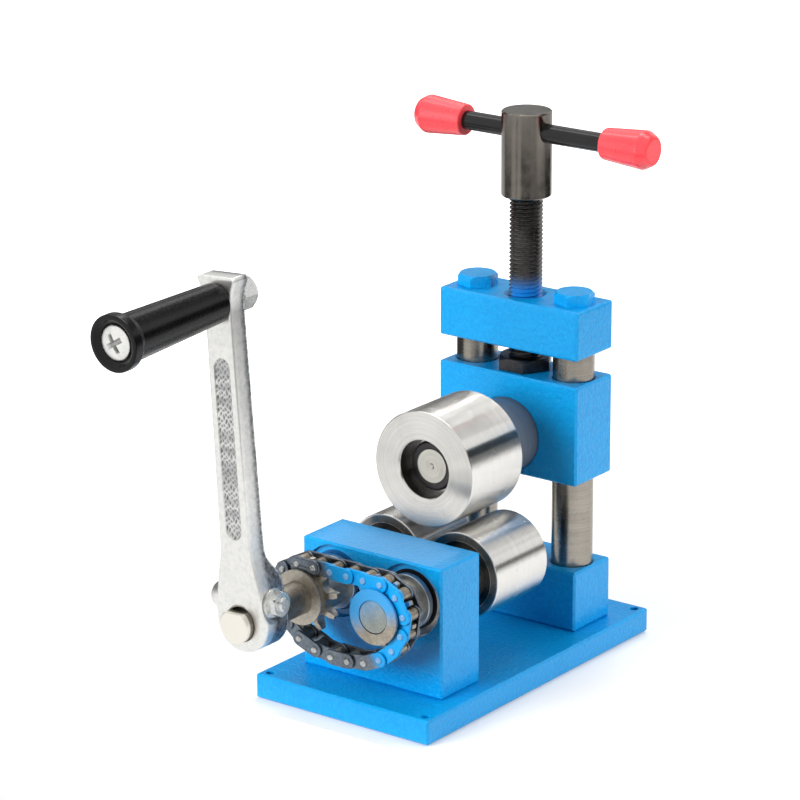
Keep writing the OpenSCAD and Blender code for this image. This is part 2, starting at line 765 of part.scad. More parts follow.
// Two plates of link j, each from face to face + t on both sides of the chain
module link_plates(j, face, t, hole_d) {
    a = chain_pins_at[j];
    b = chain_pins_at[(j + 1) % pin_count];
    span = norm(b - a);
    at_pin(j) rotate([0, -atan2(b[1] - a[1], b[0] - a[0]), 0])
        for (y = [face, -face - t])
            plate_y(y, y + t)
                difference() {
                    union() {
                        for (x = [0, span]) translate([x, 0]) circle(d = plate_h);
                        translate([0, -plate_h / 2]) square([span, plate_h]);
                    }
                    for (x = [0, span]) translate([x, 0]) circle(d = hole_d);
                }
}
module chain_inner_plates() color("slategray")
    for (j = [0:2:pin_count - 1]) link_plates(j, inner_face, inner_plate_t, chain_bush_d);
module chain_outer_plates() color("slategray")
    for (j = [1:2:pin_count - 1]) link_plates(j, outer_face, outer_plate_t, chain_pin_d);

module tube_y(d, hole, y0, y1)
    difference() {
        rod_y(d, y0, y1);
        rod_y(hole, y0 - cut, y1 + cut);
    }
module chain_rollers() color("rosybrown")
    for (j = [0:pin_count - 1]) at_pin(j)
        tube_y(chain_roller_d, chain_bush_d + 2 * run_gap, -inner_face + plate_gap, inner_face - plate_gap);
module chain_bushes() color("gray")
    for (j = [0:pin_count - 1]) at_pin(j)
        tube_y(chain_bush_d, chain_pin_d + 2 * run_gap,
               -inner_face - inner_plate_t, inner_face + inner_plate_t);
module chain_pins() color("lightgray")
    for (j = [0:pin_count - 1]) at_pin(j)
        turned_y()
            polygon([[0, -pin_end], [chain_pin_d / 2 - pin_proud / 2, -pin_end],
                     [chain_pin_d / 2, -pin_end + pin_proud / 2], [chain_pin_d / 2, pin_end - pin_proud / 2],
                     [chain_pin_d / 2 - pin_proud / 2, pin_end], [0, pin_end]]);

// Spring clip of the joining link: a flat loop, open at one end, lying on the outer plate
module chain_clip() color("silver") {
    a = chain_pins_at[clip_link];
    b = chain_pins_at[clip_link + 1];
    span = norm(b - a);
    clip_w = plate_h - 1.6;
    front = -outer_face - outer_plate_t;
    at_pin(clip_link) rotate([0, -atan2(b[1] - a[1], b[0] - a[0]), 0])
        plate_y(front - pin_proud / 2, front)
            difference() {
                union() {
                    for (x = [0, span]) translate([x, 0]) circle(d = clip_w);
                    translate([0, -clip_w / 2]) square([span, clip_w]);
                }
                for (x = [0, span]) translate([x, 0]) circle(d = chain_pin_d);
                translate([-clip_w, -0.5]) square([clip_w + span, 1]);
            }
}

// Crank, drawn upright about the shaft and then leaned over

module crank_arm() color("gainsboro")
    at_crank() difference() {
        union() {
            plate_y(boss_front, arm_back) {
                polygon([[-arm_w_low / 2, 0], [arm_w_low / 2, 0], [arm_w_top / 2, flare_from],
                         [flare_mid_w / 2, flare_mid], [end_w / 2, end_top - end_break],
                         [end_w / 2 - end_break, end_top], [-end_w / 2 + end_break, end_top],
                         [-end_w / 2, end_top - end_break], [-flare_mid_w / 2, flare_mid],
                         [-arm_w_top / 2, flare_from]]);
            }
            plate_y(boss_front, boss_back) {
                circle(d = boss_d);
                polygon([[-boss_d / 2, 0], [boss_d / 2, 0], [boss_d / 2 - 0.8, boss_d / 2 - 2],
                         [arm_w_low / 2, neck_h], [-arm_w_low / 2, neck_h],
                         [-boss_d / 2 + 0.8, boss_d / 2 - 2]]);
            }
            translate([-cotter_lug, boss_mid, cotter_h]) rotate([0, 90, 0])
                cylinder(d1 = cotter_d + 1.5, d2 = lug_d, h = cotter_lug - boss_d / 4);
        }
        rod_y(shaft_d, boss_front - cut, boss_back + cut);
        translate([-cotter_lug - cut, boss_mid, cotter_h]) rotate([0, 90, 0])
            cylinder(d = cotter_d, h = cotter_lug + boss_d);
        translate([cotter_seat, boss_mid, cotter_h]) rotate([0, 90, 0])
            cylinder(d = cotter_washer_d + 1, h = boss_d);
        droop_grip() rod_y(grip_bolt_d, boss_front - cut, arm_back + cut);
        plate_y(boss_front - cut, boss_front + panel_t) {
            for (z = [panel_from + panel_w / 2, crank_throw - panel_short - panel_w / 2])
                translate([0, z]) circle(d = panel_w);
            translate([-panel_w / 2, panel_from + panel_w / 2])
                square([panel_w, crank_throw - panel_short - panel_from - panel_w]);
        }
    }

// Cotter pin with a flat against the flat of the shaft, drawn along X from its head to its thread
cotter_thread_end = cotter_seat + cotter_washer_t + cotter_nut_h + 1.6;
module cotter_pin() color("lightgray")
    at_crank() difference() {
        translate([0, boss_mid, cotter_h]) rotate([0, 90, 0]) rotate_extrude()
            polygon([[0, -cotter_head], [cotter_d / 2 - small_break, -cotter_head],
                     [cotter_d / 2, -cotter_head + small_break],
                     [cotter_d / 2, cotter_seat - 2 * small_break], [cotter_thread_d / 2, cotter_seat],
                     [cotter_thread_d / 2, cotter_thread_end - small_break],
                     [cotter_thread_d / 2 - small_break, cotter_thread_end], [0, cotter_thread_end]]);
        translate([-shaft_d / 2, boss_front, flat_h - shaft_d]) cube([shaft_d, boss_t, shaft_d]);
    }
module cotter_washer() color("lightgray")
    at_crank() translate([cotter_seat, boss_mid, cotter_h]) rotate([0, 90, 0])
        difference() {
            cylinder(d = cotter_washer_d, h = cotter_washer_t);
            translate([0, 0, -cut]) cylinder(d = cotter_thread_d, h = cotter_washer_t + 2 * cut);
        }
module cotter_nut() color("lightgray")
    at_crank() translate([cotter_seat + cotter_washer_t, boss_mid, cotter_h]) rotate([0, 90, 0])
        difference() {
            hex_z(cotter_nut_af, cotter_nut_h);
            translate([0, 0, -cut]) cylinder(d = cotter_thread_d, h = cotter_nut_h + 2 * cut);
        }

module droop_grip()
    translate([0, boss_front, crank_throw]) rotate([grip_droop, 0, 0]) translate([0, -boss_front, 0])
        children();
module at_grip() at_crank() droop_grip() children();

// Grip bolt: a domed cross head in the end of the grip, its shank through grip, arm and nut
grip_bolt_end = arm_back + grip_nut_h + 1.2;
module grip_bolt() color("lightgray") {
    head_r = grip_head_d / 2;
    at_grip() difference() {
        turned_y()
            polygon(concat(
                [for (a = [0:15:90]) [head_r * sin(a), grip_head_seat - grip_head_h * (0.3 + 0.7 * cos(a))]],
                [[head_r, grip_head_seat], [grip_bolt_d / 2, grip_head_seat],
                 [grip_bolt_d / 2, grip_bolt_end - small_break],
                 [grip_bolt_d / 2 - small_break, grip_bolt_end],
                 [0, grip_bolt_end]]));
        for (turn = [30, 120])
            rotate([0, turn, 0])
                translate([-head_r * cross_share / 2, grip_head_seat - 2 * grip_head_h, -grip_head_h / 5])
                    cube([head_r * cross_share, 1.6 * grip_head_h, grip_head_h / 2.5]);
    }
}
// The nut lies flat on the back of the arm, so only its thread follows the droop
grip_nut_z = crank_throw + (arm_t + grip_nut_h / 2) * tan(grip_droop);
module grip_nut() color("lightgray")
    at_crank() difference() {
        translate([0, arm_back, grip_nut_z]) rotate([-90, 0, 0]) hex_z(grip_nut_af, grip_nut_h);
        droop_grip() rod_y(grip_bolt_d, arm_back - cut, arm_back + grip_nut_h + cut);
    }

module grip() color("black") {
    round_r = 1.5;
    at_grip() turned_y()
        polygon(concat(
            [[grip_bolt_d / 2 + run_gap, grip_inner]],
            [for (a = [90:-15:0])
                [grip_in_d / 2 - round_r + round_r * cos(a), grip_inner - round_r + round_r * sin(a)]],
            [for (t = [0:0.125:1]) [grip_d / 2 + (flange_d - grip_d) / 2 * (1 - cos(180 * t)) / 2,
                                    grip_outer + flange_l + flare_l * (1 - t)]],
            [for (a = [0:-15:-90])
                [flange_d / 2 - round_r + round_r * cos(a), grip_outer + round_r + round_r * sin(a)]],
            [[grip_mouth_d / 2, grip_outer], [grip_recess_d / 2, grip_outer + grip_mouth_t],
             [grip_recess_d / 2, grip_outer + grip_recess_t],
             [grip_bolt_d / 2 + run_gap, grip_outer + grip_recess_t]]));
}

// Slide block, upper axle and free upper roller

module slide_block() color("deepskyblue")
    difference() {
        translate([0, column_y, 0]) broken_box(rear_w, slide_t, slide_h, slide_bottom);
        at_columns() translate([0, 0, slide_bottom - cut])
            cylinder(d = column_d + 2 * column_clear, h = slide_h + 2 * cut);
        at_columns() translate([0, 0, slide_top - small_break])
            cylinder(d1 = column_d + 2 * column_clear, d2 = column_d + 4 * small_break, h = 2 * small_break);
        at_upper() rod_y(tail_d, slide_front - cut, slide_back + cut);
        at_upper() translate([0, slide_front - cut, 0]) rotate([-90, 0, 0])
            cylinder(d = collar_d + 2 * small_break, h = cut + small_break);
        translate([0, column_y, plain_end_bottom])
            cylinder(d = plain_end_d + 2 * run_gap, h = plain_end_l + cut);
        translate([0, slide_back + cut, retainer_z]) rotate([90, 0, 0])
            cylinder(d = retainer_d, h = slide_t / 2 + cut);
        translate([0, column_y, slide_bottom - cut]) cylinder(d = axle_screw_d, h = axle_in_slide);
    }

module upper_axle() color("gray")
    at_upper() turned_y()
        polygon([[0, axle_end], [axle_d / 2 - small_break, axle_end], [axle_d / 2, axle_end + small_break],
                 [axle_d / 2 - small_break, axle_end + small_break],
                 [axle_d / 2 - small_break, upper_bearing_front], [axle_d / 2, upper_bearing_front],
                 [axle_d / 2, upper_bearing_back + roller_bearing_b],
                 [nose_d / 2, upper_bearing_back + roller_bearing_b], [nose_d / 2, collar_front],
                 [collar_d / 2, collar_front], [collar_d / 2, slide_front + small_break],
                 [tail_d / 2, slide_front + small_break], [tail_d / 2, slide_back - edge_break],
                 [tail_d / 2 - small_break, slide_back - edge_break + small_break],
                 [0, slide_back - edge_break + small_break]]);

module axle_ring() color("dimgray")
    at_upper()
        tube_y(axle_d + 5, axle_d - 2 * small_break, upper_bearing_front - ring_t, upper_bearing_front);

module upper_bearing_pair()
    for (y = [upper_bearing_front, upper_bearing_back]) translate([0, y, 0]) children();
module upper_inner_rings() color("silver")
    at_upper() upper_bearing_pair() bearing_inner(axle_d, roller_bearing_od, roller_bearing_b, 0);
module upper_outer_rings() color("silver")
    at_upper() upper_bearing_pair() bearing_outer(axle_d, roller_bearing_od, roller_bearing_b, 0);
module upper_balls() color("silver")
    at_upper() upper_bearing_pair() balls(axle_d, roller_bearing_od, roller_bearing_b, 0);
module upper_seal() color("black")
    at_upper() seal_disc(axle_d, roller_bearing_od, upper_bearing_front + seal_sunk);

module upper_roller() color("gainsboro")
    at_upper() turned_y()
        polygon([[roller_web_d / 2, upper_bearing_front + roller_bearing_b],
                 [roller_bearing_od / 2, upper_bearing_front + roller_bearing_b],
                 [roller_bearing_od / 2, roller_front + small_break],
                 [roller_bearing_od / 2 + small_break, roller_front],
                 [upper_roller_d / 2 - roller_edge, roller_front],
                 [upper_roller_d / 2, roller_front + roller_edge],
                 [upper_roller_d / 2, roller_back - roller_edge],
                 [upper_roller_d / 2 - roller_edge, roller_back],
                 [roller_bearing_od / 2, roller_back], [roller_bearing_od / 2, upper_bearing_back],
                 [roller_web_d / 2, upper_bearing_back]]);

module axle_set_screw() color("dimgray")
    translate([0, column_y, upper_z - tail_d / 2]) rotate([180, 0, 0])
        grub(axle_screw_d, axle_in_slide - tail_d / 2 - edge_break);

// Set screw from the back of the slide block, its point in the groove of the pressure screw
module screw_retainer() color("dimgray") {
    point_d = retainer_d - 2;
    point_l = retainer_d / 4;
    hole_end = plain_end_d / 2 + run_gap;
    l = slide_t / 2 - hole_end - edge_break;
    translate([0, column_y + hole_end, retainer_z]) rotate([-90, 0, 0]) {
        grub(retainer_d, l);
        translate([0, 0, -point_l]) cylinder(d = point_d, h = point_l + small_break);
    }
}

// Pressure screw: plain grooved end in the slide block, thread rings, spigot in the head
module pressure_screw() color("dimgray") {
    crest = screw_d / 2;
    root = crest - thread_depth;
    groove_r = plain_end_d / 2 - retainer_d / 3;
    groove_w = retainer_d - 2 + 2 * end_gap;
    turns = floor((head_bottom - nut_bottom) / screw_pitch) - 1;
    translate([0, column_y, 0]) rotate_extrude()
        polygon(concat(
            [[0, plain_end_bottom + end_gap], [plain_end_d / 2 - small_break, plain_end_bottom + end_gap],
             [plain_end_d / 2, plain_end_bottom + end_gap + small_break],
             [plain_end_d / 2, retainer_z - groove_w / 2], [groove_r, retainer_z - groove_w / 2],
             [groove_r, retainer_z + groove_w / 2], [plain_end_d / 2, retainer_z + groove_w / 2],
             [plain_end_d / 2, nut_bottom]],
            [for (i = [0:turns - 1], step = [[root, 0], [crest, 0.4], [crest, 0.5], [root, 0.9]])
                [step[0], nut_bottom + (i + step[1]) * screw_pitch]],
            [[root, head_bottom], [plain_end_d / 2, head_bottom], [plain_end_d / 2, head_bottom + spigot_l],
             [0, head_bottom + spigot_l]]));
}

module thrust_nut() color("dimgray")
    translate([0, column_y, nut_bottom])
        difference() {
            hex_z(thrust_nut_af, thrust_nut_h);
            translate([0, 0, -cut]) cylinder(d = screw_d, h = thrust_nut_h + 2 * cut);
        }

module screw_head() color("dimgray")
    translate([0, column_y, 0])
        difference() {
            rotate_extrude()
                polygon([[0, head_bottom], [head_d / 2 - small_break, head_bottom],
                         [head_d / 2, head_bottom + small_break], [head_d / 2, head_top - small_break],
                         [head_d / 2 - small_break, head_top], [0, head_top]]);
            translate([0, 0, head_bottom - cut]) cylinder(d = plain_end_d, h = spigot_l + cut);
            translate([-head_d, 0, bar_z]) rotate([0, 90, 0])
                cylinder(d = bar_d + 2 * run_gap, h = 2 * head_d);
        }

module sliding_bar() color("dimgray")
    translate([bar_shift - bar_span / 2 - bar_in_cap, column_y, bar_z]) rotate([0, 90, 0])
        cylinder(d = bar_d, h = bar_span + 2 * bar_in_cap);

// Cap drawn from its inner end outwards
module cap()
    rotate([0, 90, 0]) rotate_extrude()
        polygon([[bar_d / 2, 0], [cap_in_d / 2 - small_break, 0], [cap_in_d / 2, small_break],
                 [cap_out_d / 2, cap_l - cap_bevel], [cap_end_d / 2, cap_l], [0, cap_l], [0, bar_in_cap],
                 [bar_d / 2, bar_in_cap]]);
module right_cap() color("tomato") translate([bar_shift + bar_span / 2, column_y, bar_z]) cap();
module left_cap() color("tomato")
    translate([bar_shift - bar_span / 2, column_y, bar_z]) rotate([0, 0, 180]) cap();

base_plate();
front_block();
rear_block();
left_column();
right_column();
crossbar();
column_bolts();
front_block_screws();
rear_block_screws();
column_foot_screws();
bearing_outer_rings();
bearing_balls();
bearing_seals();
chain_inner_plates();
chain_outer_plates();
chain_rollers();
chain_bushes();
chain_pins();
chain_clip();
crank_shaft();
left_roller();
left_roller_key();
left_roller_washer();
left_roller_screw();
left_inner_rings();
left_spacer();
left_sprocket();
left_sprocket_screw();
crank_arm();
cotter_pin();
cotter_washer();
cotter_nut();
grip_bolt();
grip_nut();
grip();
right_shaft();
right_roller();
right_roller_key();
right_roller_washer();
right_roller_screw();
right_inner_rings();
right_spacer();
right_sprocket();
right_sprocket_screw();
slide_block();
upper_axle();
axle_set_screw();
screw_retainer();
axle_ring();
upper_inner_rings();
upper_balls();
upper_roller();
upper_outer_rings();
upper_seal();
pressure_screw();
screw_head();
thrust_nut();
sliding_bar();
left_cap();
right_cap();
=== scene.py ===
# %% [markdown]
# A hand cranked bender for bracelet strip: a blue painted frame, three steel rollers, a chain between two
# of them, a crank and a screw with a sliding bar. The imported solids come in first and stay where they
# are. Every piece made below is measured from their boxes, so that looks and mechanics share one frame.

# %% The solids
import json
import math

import bmesh
import bpy
import numpy as np
from mathutils import Matrix, Vector


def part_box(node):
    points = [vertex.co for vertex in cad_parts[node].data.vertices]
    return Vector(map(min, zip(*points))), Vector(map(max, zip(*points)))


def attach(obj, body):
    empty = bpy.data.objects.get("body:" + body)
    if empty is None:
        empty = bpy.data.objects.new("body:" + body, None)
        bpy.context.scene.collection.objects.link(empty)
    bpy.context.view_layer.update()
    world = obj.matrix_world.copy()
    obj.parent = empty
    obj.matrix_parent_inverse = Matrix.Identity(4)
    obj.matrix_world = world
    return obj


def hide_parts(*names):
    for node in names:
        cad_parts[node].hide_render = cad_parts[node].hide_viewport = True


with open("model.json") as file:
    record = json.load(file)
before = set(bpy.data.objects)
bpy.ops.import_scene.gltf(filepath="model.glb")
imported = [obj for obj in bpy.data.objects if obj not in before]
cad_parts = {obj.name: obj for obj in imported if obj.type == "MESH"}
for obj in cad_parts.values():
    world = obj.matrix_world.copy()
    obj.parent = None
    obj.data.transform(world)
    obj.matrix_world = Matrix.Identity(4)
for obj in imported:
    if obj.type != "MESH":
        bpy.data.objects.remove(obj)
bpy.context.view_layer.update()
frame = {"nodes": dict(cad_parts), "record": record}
solids = frame["nodes"]
body_of_node = {n: b for b, ns in frame["record"]["behaviour"]["bodies"].items() for n in ns}
slot_of_node = {s["node"]: s["material_slot"] for s in frame["record"]["subparts"]}
MM = 0.001

# %% [markdown]
# The camera stands where the photograph was taken from: its turn, tilt, distance and focal length were
# solved from the corners of the blocks and of the base plate. A long lens keeps the edges nearly
# parallel.

# %% Camera
turn, tilt, roll = (math.radians(a) for a in (37.02, 17.70, -0.24))
camera_at = Vector((1.0006, -1.3704, 0.6735))
look = Vector((-math.sin(turn) * math.cos(tilt), math.cos(turn) * math.cos(tilt), -math.sin(tilt)))
level = Vector((math.cos(turn), math.sin(turn), 0))
rise = level.cross(look)
right = level * math.cos(roll) + rise * math.sin(roll)
up = rise * math.cos(roll) - level * math.sin(roll)
camera = bpy.data.objects.new("camera", bpy.data.cameras.new("camera"))
camera.data.sensor_width = 36
camera.data.lens = 36 * 3815.7 / 800
camera.data.clip_end = 20
camera.matrix_world = Matrix((right, up, -look)).transposed().to_4x4()
camera.location = camera_at
bpy.context.scene.collection.objects.link(camera)
bpy.context.scene.camera = camera
bpy.context.scene.view_settings.view_transform = "Standard"
print("camera lens", round(camera.data.lens, 1), "mm")

# %% [markdown]
# Shader nodes are added by small helpers: one adds a node and sets or links its sockets by name, another
# starts a finish with one Principled shader. Colours are written as they look on a screen and turned into
# the linear values that the shader works with.

# %% Shader helpers
def seen(r, g, b):
    """Screen colour from 0 to 255 as linear light: each part to the power 2.4, apart from its dark
    end."""
    c = np.array([r, g, b]) / 255
    linear = np.where(c <= 0.04045, c / 12.92, ((c + 0.055) / 1.055) ** 2.4)
    return (*linear.tolist(), 1.0)


def add(tree, kind, sockets=None, **settings):
    """Adds a shader node, sets its settings, and sets or links its input sockets."""
    node = tree.nodes.new("ShaderNode" + kind)
    for key, value in settings.items():
        setattr(node, key, value)
    for key, value in (sockets or {}).items():
        if isinstance(value, bpy.types.NodeSocket):
            tree.links.new(value, node.inputs[key])
        else:
            node.inputs[key].default_value = value
    return node


def new_finish(name, **sockets):
    """A material with one Principled shader, and its node tree. Underscores in socket names stand for
    spaces."""
    material = bpy.data.materials.new(name)
    material.use_nodes = True
    tree = material.node_tree
    shader = tree.nodes["Principled BSDF"]
    for key, value in sockets.items():
        shader.inputs[key.replace("_", " ")].default_value = value
    return material, tree, shader


def feed(tree, shader, **links):
    """Links node outputs to the shader's sockets."""
    for key, value in links.items():
        tree.links.new(value, shader.inputs[key.replace("_", " ")])


def ramp(tree, factor, *stops):
    """Colour or grey along a factor: stops are (place, colour) from low to high."""
    node = add(tree, "ValToRGB", {"Fac": factor})
    bar = node.color_ramp.elements
    while len(bar) < len(stops):
        bar.new(1)
    for element, (place, colour) in zip(bar, stops):
        element.position = place
        element.color = colour if isinstance(colour, tuple) else (colour, colour, colour, 1)
    return node.outputs["Color"]


def noise(tree, scale, detail=2.0, rough=0.5, stretch=None, at="Object"):
    """Noise of a given number of grains a metre on Object coordinates, or on the UV map, stretched along
    an axis."""
    place = add(tree, "TexCoord").outputs[at]
    if stretch:
        place = add(tree, "Mapping", {"Vector": place, "Scale": stretch}).outputs["Vector"]
    sockets = {"Vector": place, "Scale": scale, "Detail": detail, "Roughness": rough}
    return add(tree, "TexNoise", sockets).outputs["Fac"]


def maths(tree, operation, *values, clamp=False):
    """One Math node on sockets or numbers."""
    return add(tree, "Math", dict(enumerate(values)), operation=operation, use_clamp=clamp).outputs[0]


def along(tree, direction, start, end):
    """A factor that grows from 0 to 1 between two distances in millimetres along a direction, with a soft
    step."""
    place = add(tree, "TexCoord").outputs["Object"]
    distance = add(tree, "VectorMath", {0: place, 1: direction}, operation="DOT_PRODUCT").outputs["Value"]
    return add(tree, "MapRange", {"Value": distance, "From Min": start * MM, "From Max": end * MM},
               interpolation_type="SMOOTHSTEP").outputs["Result"]


def mixed(tree, factor, first, second):
    """One colour over another by a factor."""
    node = add(tree, "Mix", {"Factor": factor}, data_type="RGBA")
    for socket, value in ((node.inputs[6], first), (node.inputs[7], second)):
        if isinstance(value, bpy.types.NodeSocket):
            tree.links.new(value, socket)
        else:
            socket.default_value = value
    return node.outputs[2]


def bump(tree, shader, height, strength, depth, under=None):
    """Turns a height into a bump on the shader's normal. Depth is in metres."""
    sockets = {"Height": height, "Strength": strength, "Distance": depth}
    if under:
        sockets["Normal"] = under
    normal = add(tree, "Bump", sockets).outputs["Normal"]
    tree.links.new(normal, shader.inputs["Normal"])
    return normal


# %% [markdown]
# The frame is painted in a bright blue enamel sprayed over rough milled steel. It flows into an uneven
# skin like orange peel, which shows best where light grazes it. Two noises of different grain make the
# skin, and a third shifts the blue a little, as a hand sprayed coat does.

# %% Blue enamel
BLUE = (0, 154, 224)


def blue_enamel():
    """The frame's paint: a blue that shifts in slow clouds, with painted glints on the humps of its skin and
    painted shade between them, with a thin clear gloss."""
    material, tree, shader = new_finish("blue_enamel", Roughness=0.3, Specular_IOR_Level=0.34,
                                        Coat_Weight=0.12, Coat_Roughness=0.06)
    cloud, peel = noise(tree, 45, 3), noise(tree, 640, 1.5)
    shade = ramp(tree, cloud, (0.3, seen(0, 151, 219)), (0.7, seen(*BLUE)))
    # Painted glints on the humps of the skin and painted shade between them, from the noise of the bump.
    glint = ramp(tree, peel, (0.34, seen(0, 138, 208)), (0.68, seen(24, 170, 234)))
    feed(tree, shader, Base_Color=mixed(tree, 0.3, shade, glint))
    coarse = bump(tree, shader, peel, 0.8, 0.0005)
    bump(tree, shader, noise(tree, 1500, 1.0), 0.2, 0.0002, coarse)
    return material


print("enamel blue in linear light:", np.round(seen(*BLUE)[:3], 3))

# %% [markdown]
# The rollers are turned and polished. Fine rings left by the tool spread a reflection across the rings,
# so it becomes a long streak: along the roller on its side, and a wedge towards the centre on its face. A
# Principled shader does this with anisotropy, if its tangent follows the UV map that the turned pieces
# carry.

# %% Steel finishes
def turned_steel(name, light, dark, rough, streak, rings=900.0, relief=0.1, metal=1.0):
    """Turned steel: rings of two shades, a streak across them, and black where the points are marked."""
    material, tree, shader = new_finish(name, Metallic=metal, Anisotropic=streak)
    tangent = add(tree, "Tangent", direction_type="UV_MAP", uv_map="UVMap").outputs["Tangent"]
    tool = noise(tree, rings, 2, 0.6, (1, 0.002, 1), "UV")
    # Marked points turn near black: painted shade on the fronts of the lower rollers, and a darker bore in
    # the upper roller.
    darkening = add(tree, "Attribute", attribute_name="marks").outputs["Fac"]
    shade = ramp(tree, tool, (0.3, seen(*dark)), (0.7, seen(*light)))
    feed(tree, shader, Tangent=tangent, Base_Color=mixed(tree, darkening, shade, seen(34, 33, 33)),
         Roughness=ramp(tree, noise(tree, 240, 3), (0.3, rough * 0.92), (0.7, rough * 1.1)))
    bump(tree, shader, tool, relief, 0.00002)
    return material


def grained_steel(name, light, dark, rough, grain=700.0, relief=0.15, depth=0.00005, tint=None):
    """Steel that isn't turned: two shades in a fine grain with a little relief, and a tint over them."""
    material, tree, shader = new_finish(name, Metallic=1.0)
    spots = noise(tree, grain, 4, 0.6)
    patch = noise(tree, grain / 8, 3)
    colour = ramp(tree, maths(tree, "MULTIPLY", spots, patch), (0.12, seen(*dark)), (0.38, seen(*light)))
    if tint:
        colour = tint(tree, shader, colour)
    feed(tree, shader, Base_Color=colour,
         Roughness=ramp(tree, patch, (0.3, rough * 0.8), (0.7, min(1.0, rough * 1.25))))
    bump(tree, shader, spots, relief, depth)
    return material


def cast_zinc(name, light, dark):
    """Zinc on a rough casting: a pale mottled skin, and painted shade where the points are marked."""
    material, tree, shader = new_finish(name, Metallic=1.0)
    mottle = noise(tree, 420, 5, 0.65)
    marks = add(tree, "Attribute", attribute_name="marks").outputs["Fac"]
    skin = ramp(tree, mottle, (0.3, seen(*dark)), (0.6, seen(*light)))
    # Marked points take painted shade: on the crank's wall and in its panel's grooves, and in the cross of
    # the grip bolt.
    painted_shade = ramp(tree, mottle, (0.36, seen(52, 55, 60)), (0.62, seen(138, 141, 145)))
    feed(tree, shader, Base_Color=mixed(tree, marks, skin, painted_shade),
         Roughness=ramp(tree, mottle, (0.3, 0.46), (0.7, 0.36)))
    rough = bump(tree, shader, noise(tree, 900, 3), 0.2, 0.0001)
    bump(tree, shader, mottle, 0.2, 0.0002, rough)
    return material


# %% [markdown]
# Some of the frame's blue has been sprayed on its neighbours too: on the front of the chain right of the
# middle, on the upper half of the right hub and low on the pressure screw. There the blue lies over the
# steel and takes away its metal look, so one mask drives both the colour and the Metallic socket.

# %% Blue overspray
def overspray(*slopes, blue=BLUE, cover=1.0):
    """A tint: the blue lies where every slope (direction, start, end) has grown to one, with a frayed
    edge. Cover is how much of the steel it hides at most."""
    def tint(tree, shader, colour):
        mask = maths(tree, "MULTIPLY_ADD", noise(tree, 500, 3), 0.3, 0.85)
        for slope in slopes:
            mask = maths(tree, "MULTIPLY", mask, along(tree, *slope), clamp=True)
        mask = maths(tree, "MULTIPLY", mask, cover)
        feed(tree, shader, Metallic=maths(tree, "SUBTRACT", 1.0, mask))
        return mixed(tree, mask, colour, seen(*blue))
    return tint


chain_slope, chain_front = ((0.81, 0, 0.59), 34.0, 41.0), ((0, -1, 0), 88.0, 88.5)
chain_spray = overspray(chain_slope, chain_front)
pin_spray = overspray(chain_slope, chain_front, cover=0.7, blue=(60, 165, 230))
hub_spray = overspray(((-0.35, 0, 0.94), 38.0, 50.0), ((0, -1, 0), 84.0, 88.0), cover=0.9)
shaft_spray = overspray(((-0.5, 0, 0.87), 34.0, 48.0), ((0, -1, 0), 84.0, 88.0), cover=0.5)
ring_spray = overspray(((-0.6, 0, 0.8), 26.0, 38.0), ((0, -1, 0), 60.0, 62.0))
screw_spray = overspray(((0, 0, -1), -183.0, -172.0), ((0, 0, 1), 164.0, 167.0),
                        ((0.8, -0.6, 0), -37.0, -31.0), blue=(0, 118, 196))
print("blue lies on chain plates, chain pins, right hub, right shaft, bearing rings and screw")

# %% [markdown]
# The grip is black moulded plastic with a dull skin, the caps of the sliding bar are glossy red plastic,
# and the bearings are closed by black rubber seals. The blackened sliding bar has the same kind of skin,
# so it takes the same shader.

# %% Plastics and rubber
def moulded(name, light, dark, rough, coat, grain, depth, gleam=0.5):
    """A skin without metal: two close shades in slow clouds, and a fine grain in its gloss and relief."""
    material, tree, shader = new_finish(name, Coat_Weight=coat, Coat_Roughness=0.15,
                                        Specular_IOR_Level=gleam)
    skin = noise(tree, grain, 2)
    shade = ramp(tree, noise(tree, 90, 3), (0.3, seen(*dark)), (0.7, seen(*light)))
    feed(tree, shader, Base_Color=shade,
         Roughness=ramp(tree, skin, (0.3, rough * 0.85), (0.7, rough * 1.15)))
    bump(tree, shader, skin, 0.12, depth)
    return material


def sprayed_seal():
    """Black rubber of the bearing seals, with a blue haze on the left where the spray reached it."""
    material, tree, shader = new_finish("sprayed_seal", Roughness=0.5)
    haze = maths(tree, "MULTIPLY", along(tree, (-1, 0, 0.4), 30.0, 36.0), noise(tree, 300, 3))
    feed(tree, shader, Base_Color=mixed(tree, haze, seen(18, 18, 19), seen(8, 120, 196)))
    return material


# %% [markdown]
# Every CAD piece names a slot in the record, and every slot gets one finish. None of them is one even
# colour, because no real surface is: noise shifts the shade, the gloss and a little relief.

# %% A finish for every slot
finishes = {
    "blue_enamel": blue_enamel(),
    "polished_steel": grained_steel("polished_steel", (214, 211, 206), (200, 197, 192), 0.2, 1500, 0.05),
    "ground_steel": grained_steel("ground_steel", (178, 172, 163), (150, 144, 136), 0.32),
    "raw_steel": grained_steel("raw_steel", (204, 198, 187), (164, 157, 145), 0.46),
    "chain_steel": grained_steel("chain_steel", (128, 138, 148), (92, 99, 108), 0.34, tint=chain_spray),
    "blackened_steel": grained_steel("blackened_steel", (84, 83, 84), (62, 61, 62), 0.34, 1200, 0.08),
    "zinc_plate": grained_steel("zinc_plate", (232, 232, 228), (206, 208, 208), 0.26, 900),
    "grip_plastic": moulded("grip_plastic", (14, 14, 15), (7, 7, 8), 0.26, 0.0, 900, 0.00005, 0.25),
    "cap_plastic": moulded("cap_plastic", (250, 72, 80), (240, 60, 70), 0.3, 0.4, 300, 0.00002),
    "seal_rubber": moulded("seal_rubber", (22, 22, 23), (12, 12, 13), 0.6, 0.0, 900, 0.0001),
}
print("finishes:", ", ".join(finishes))
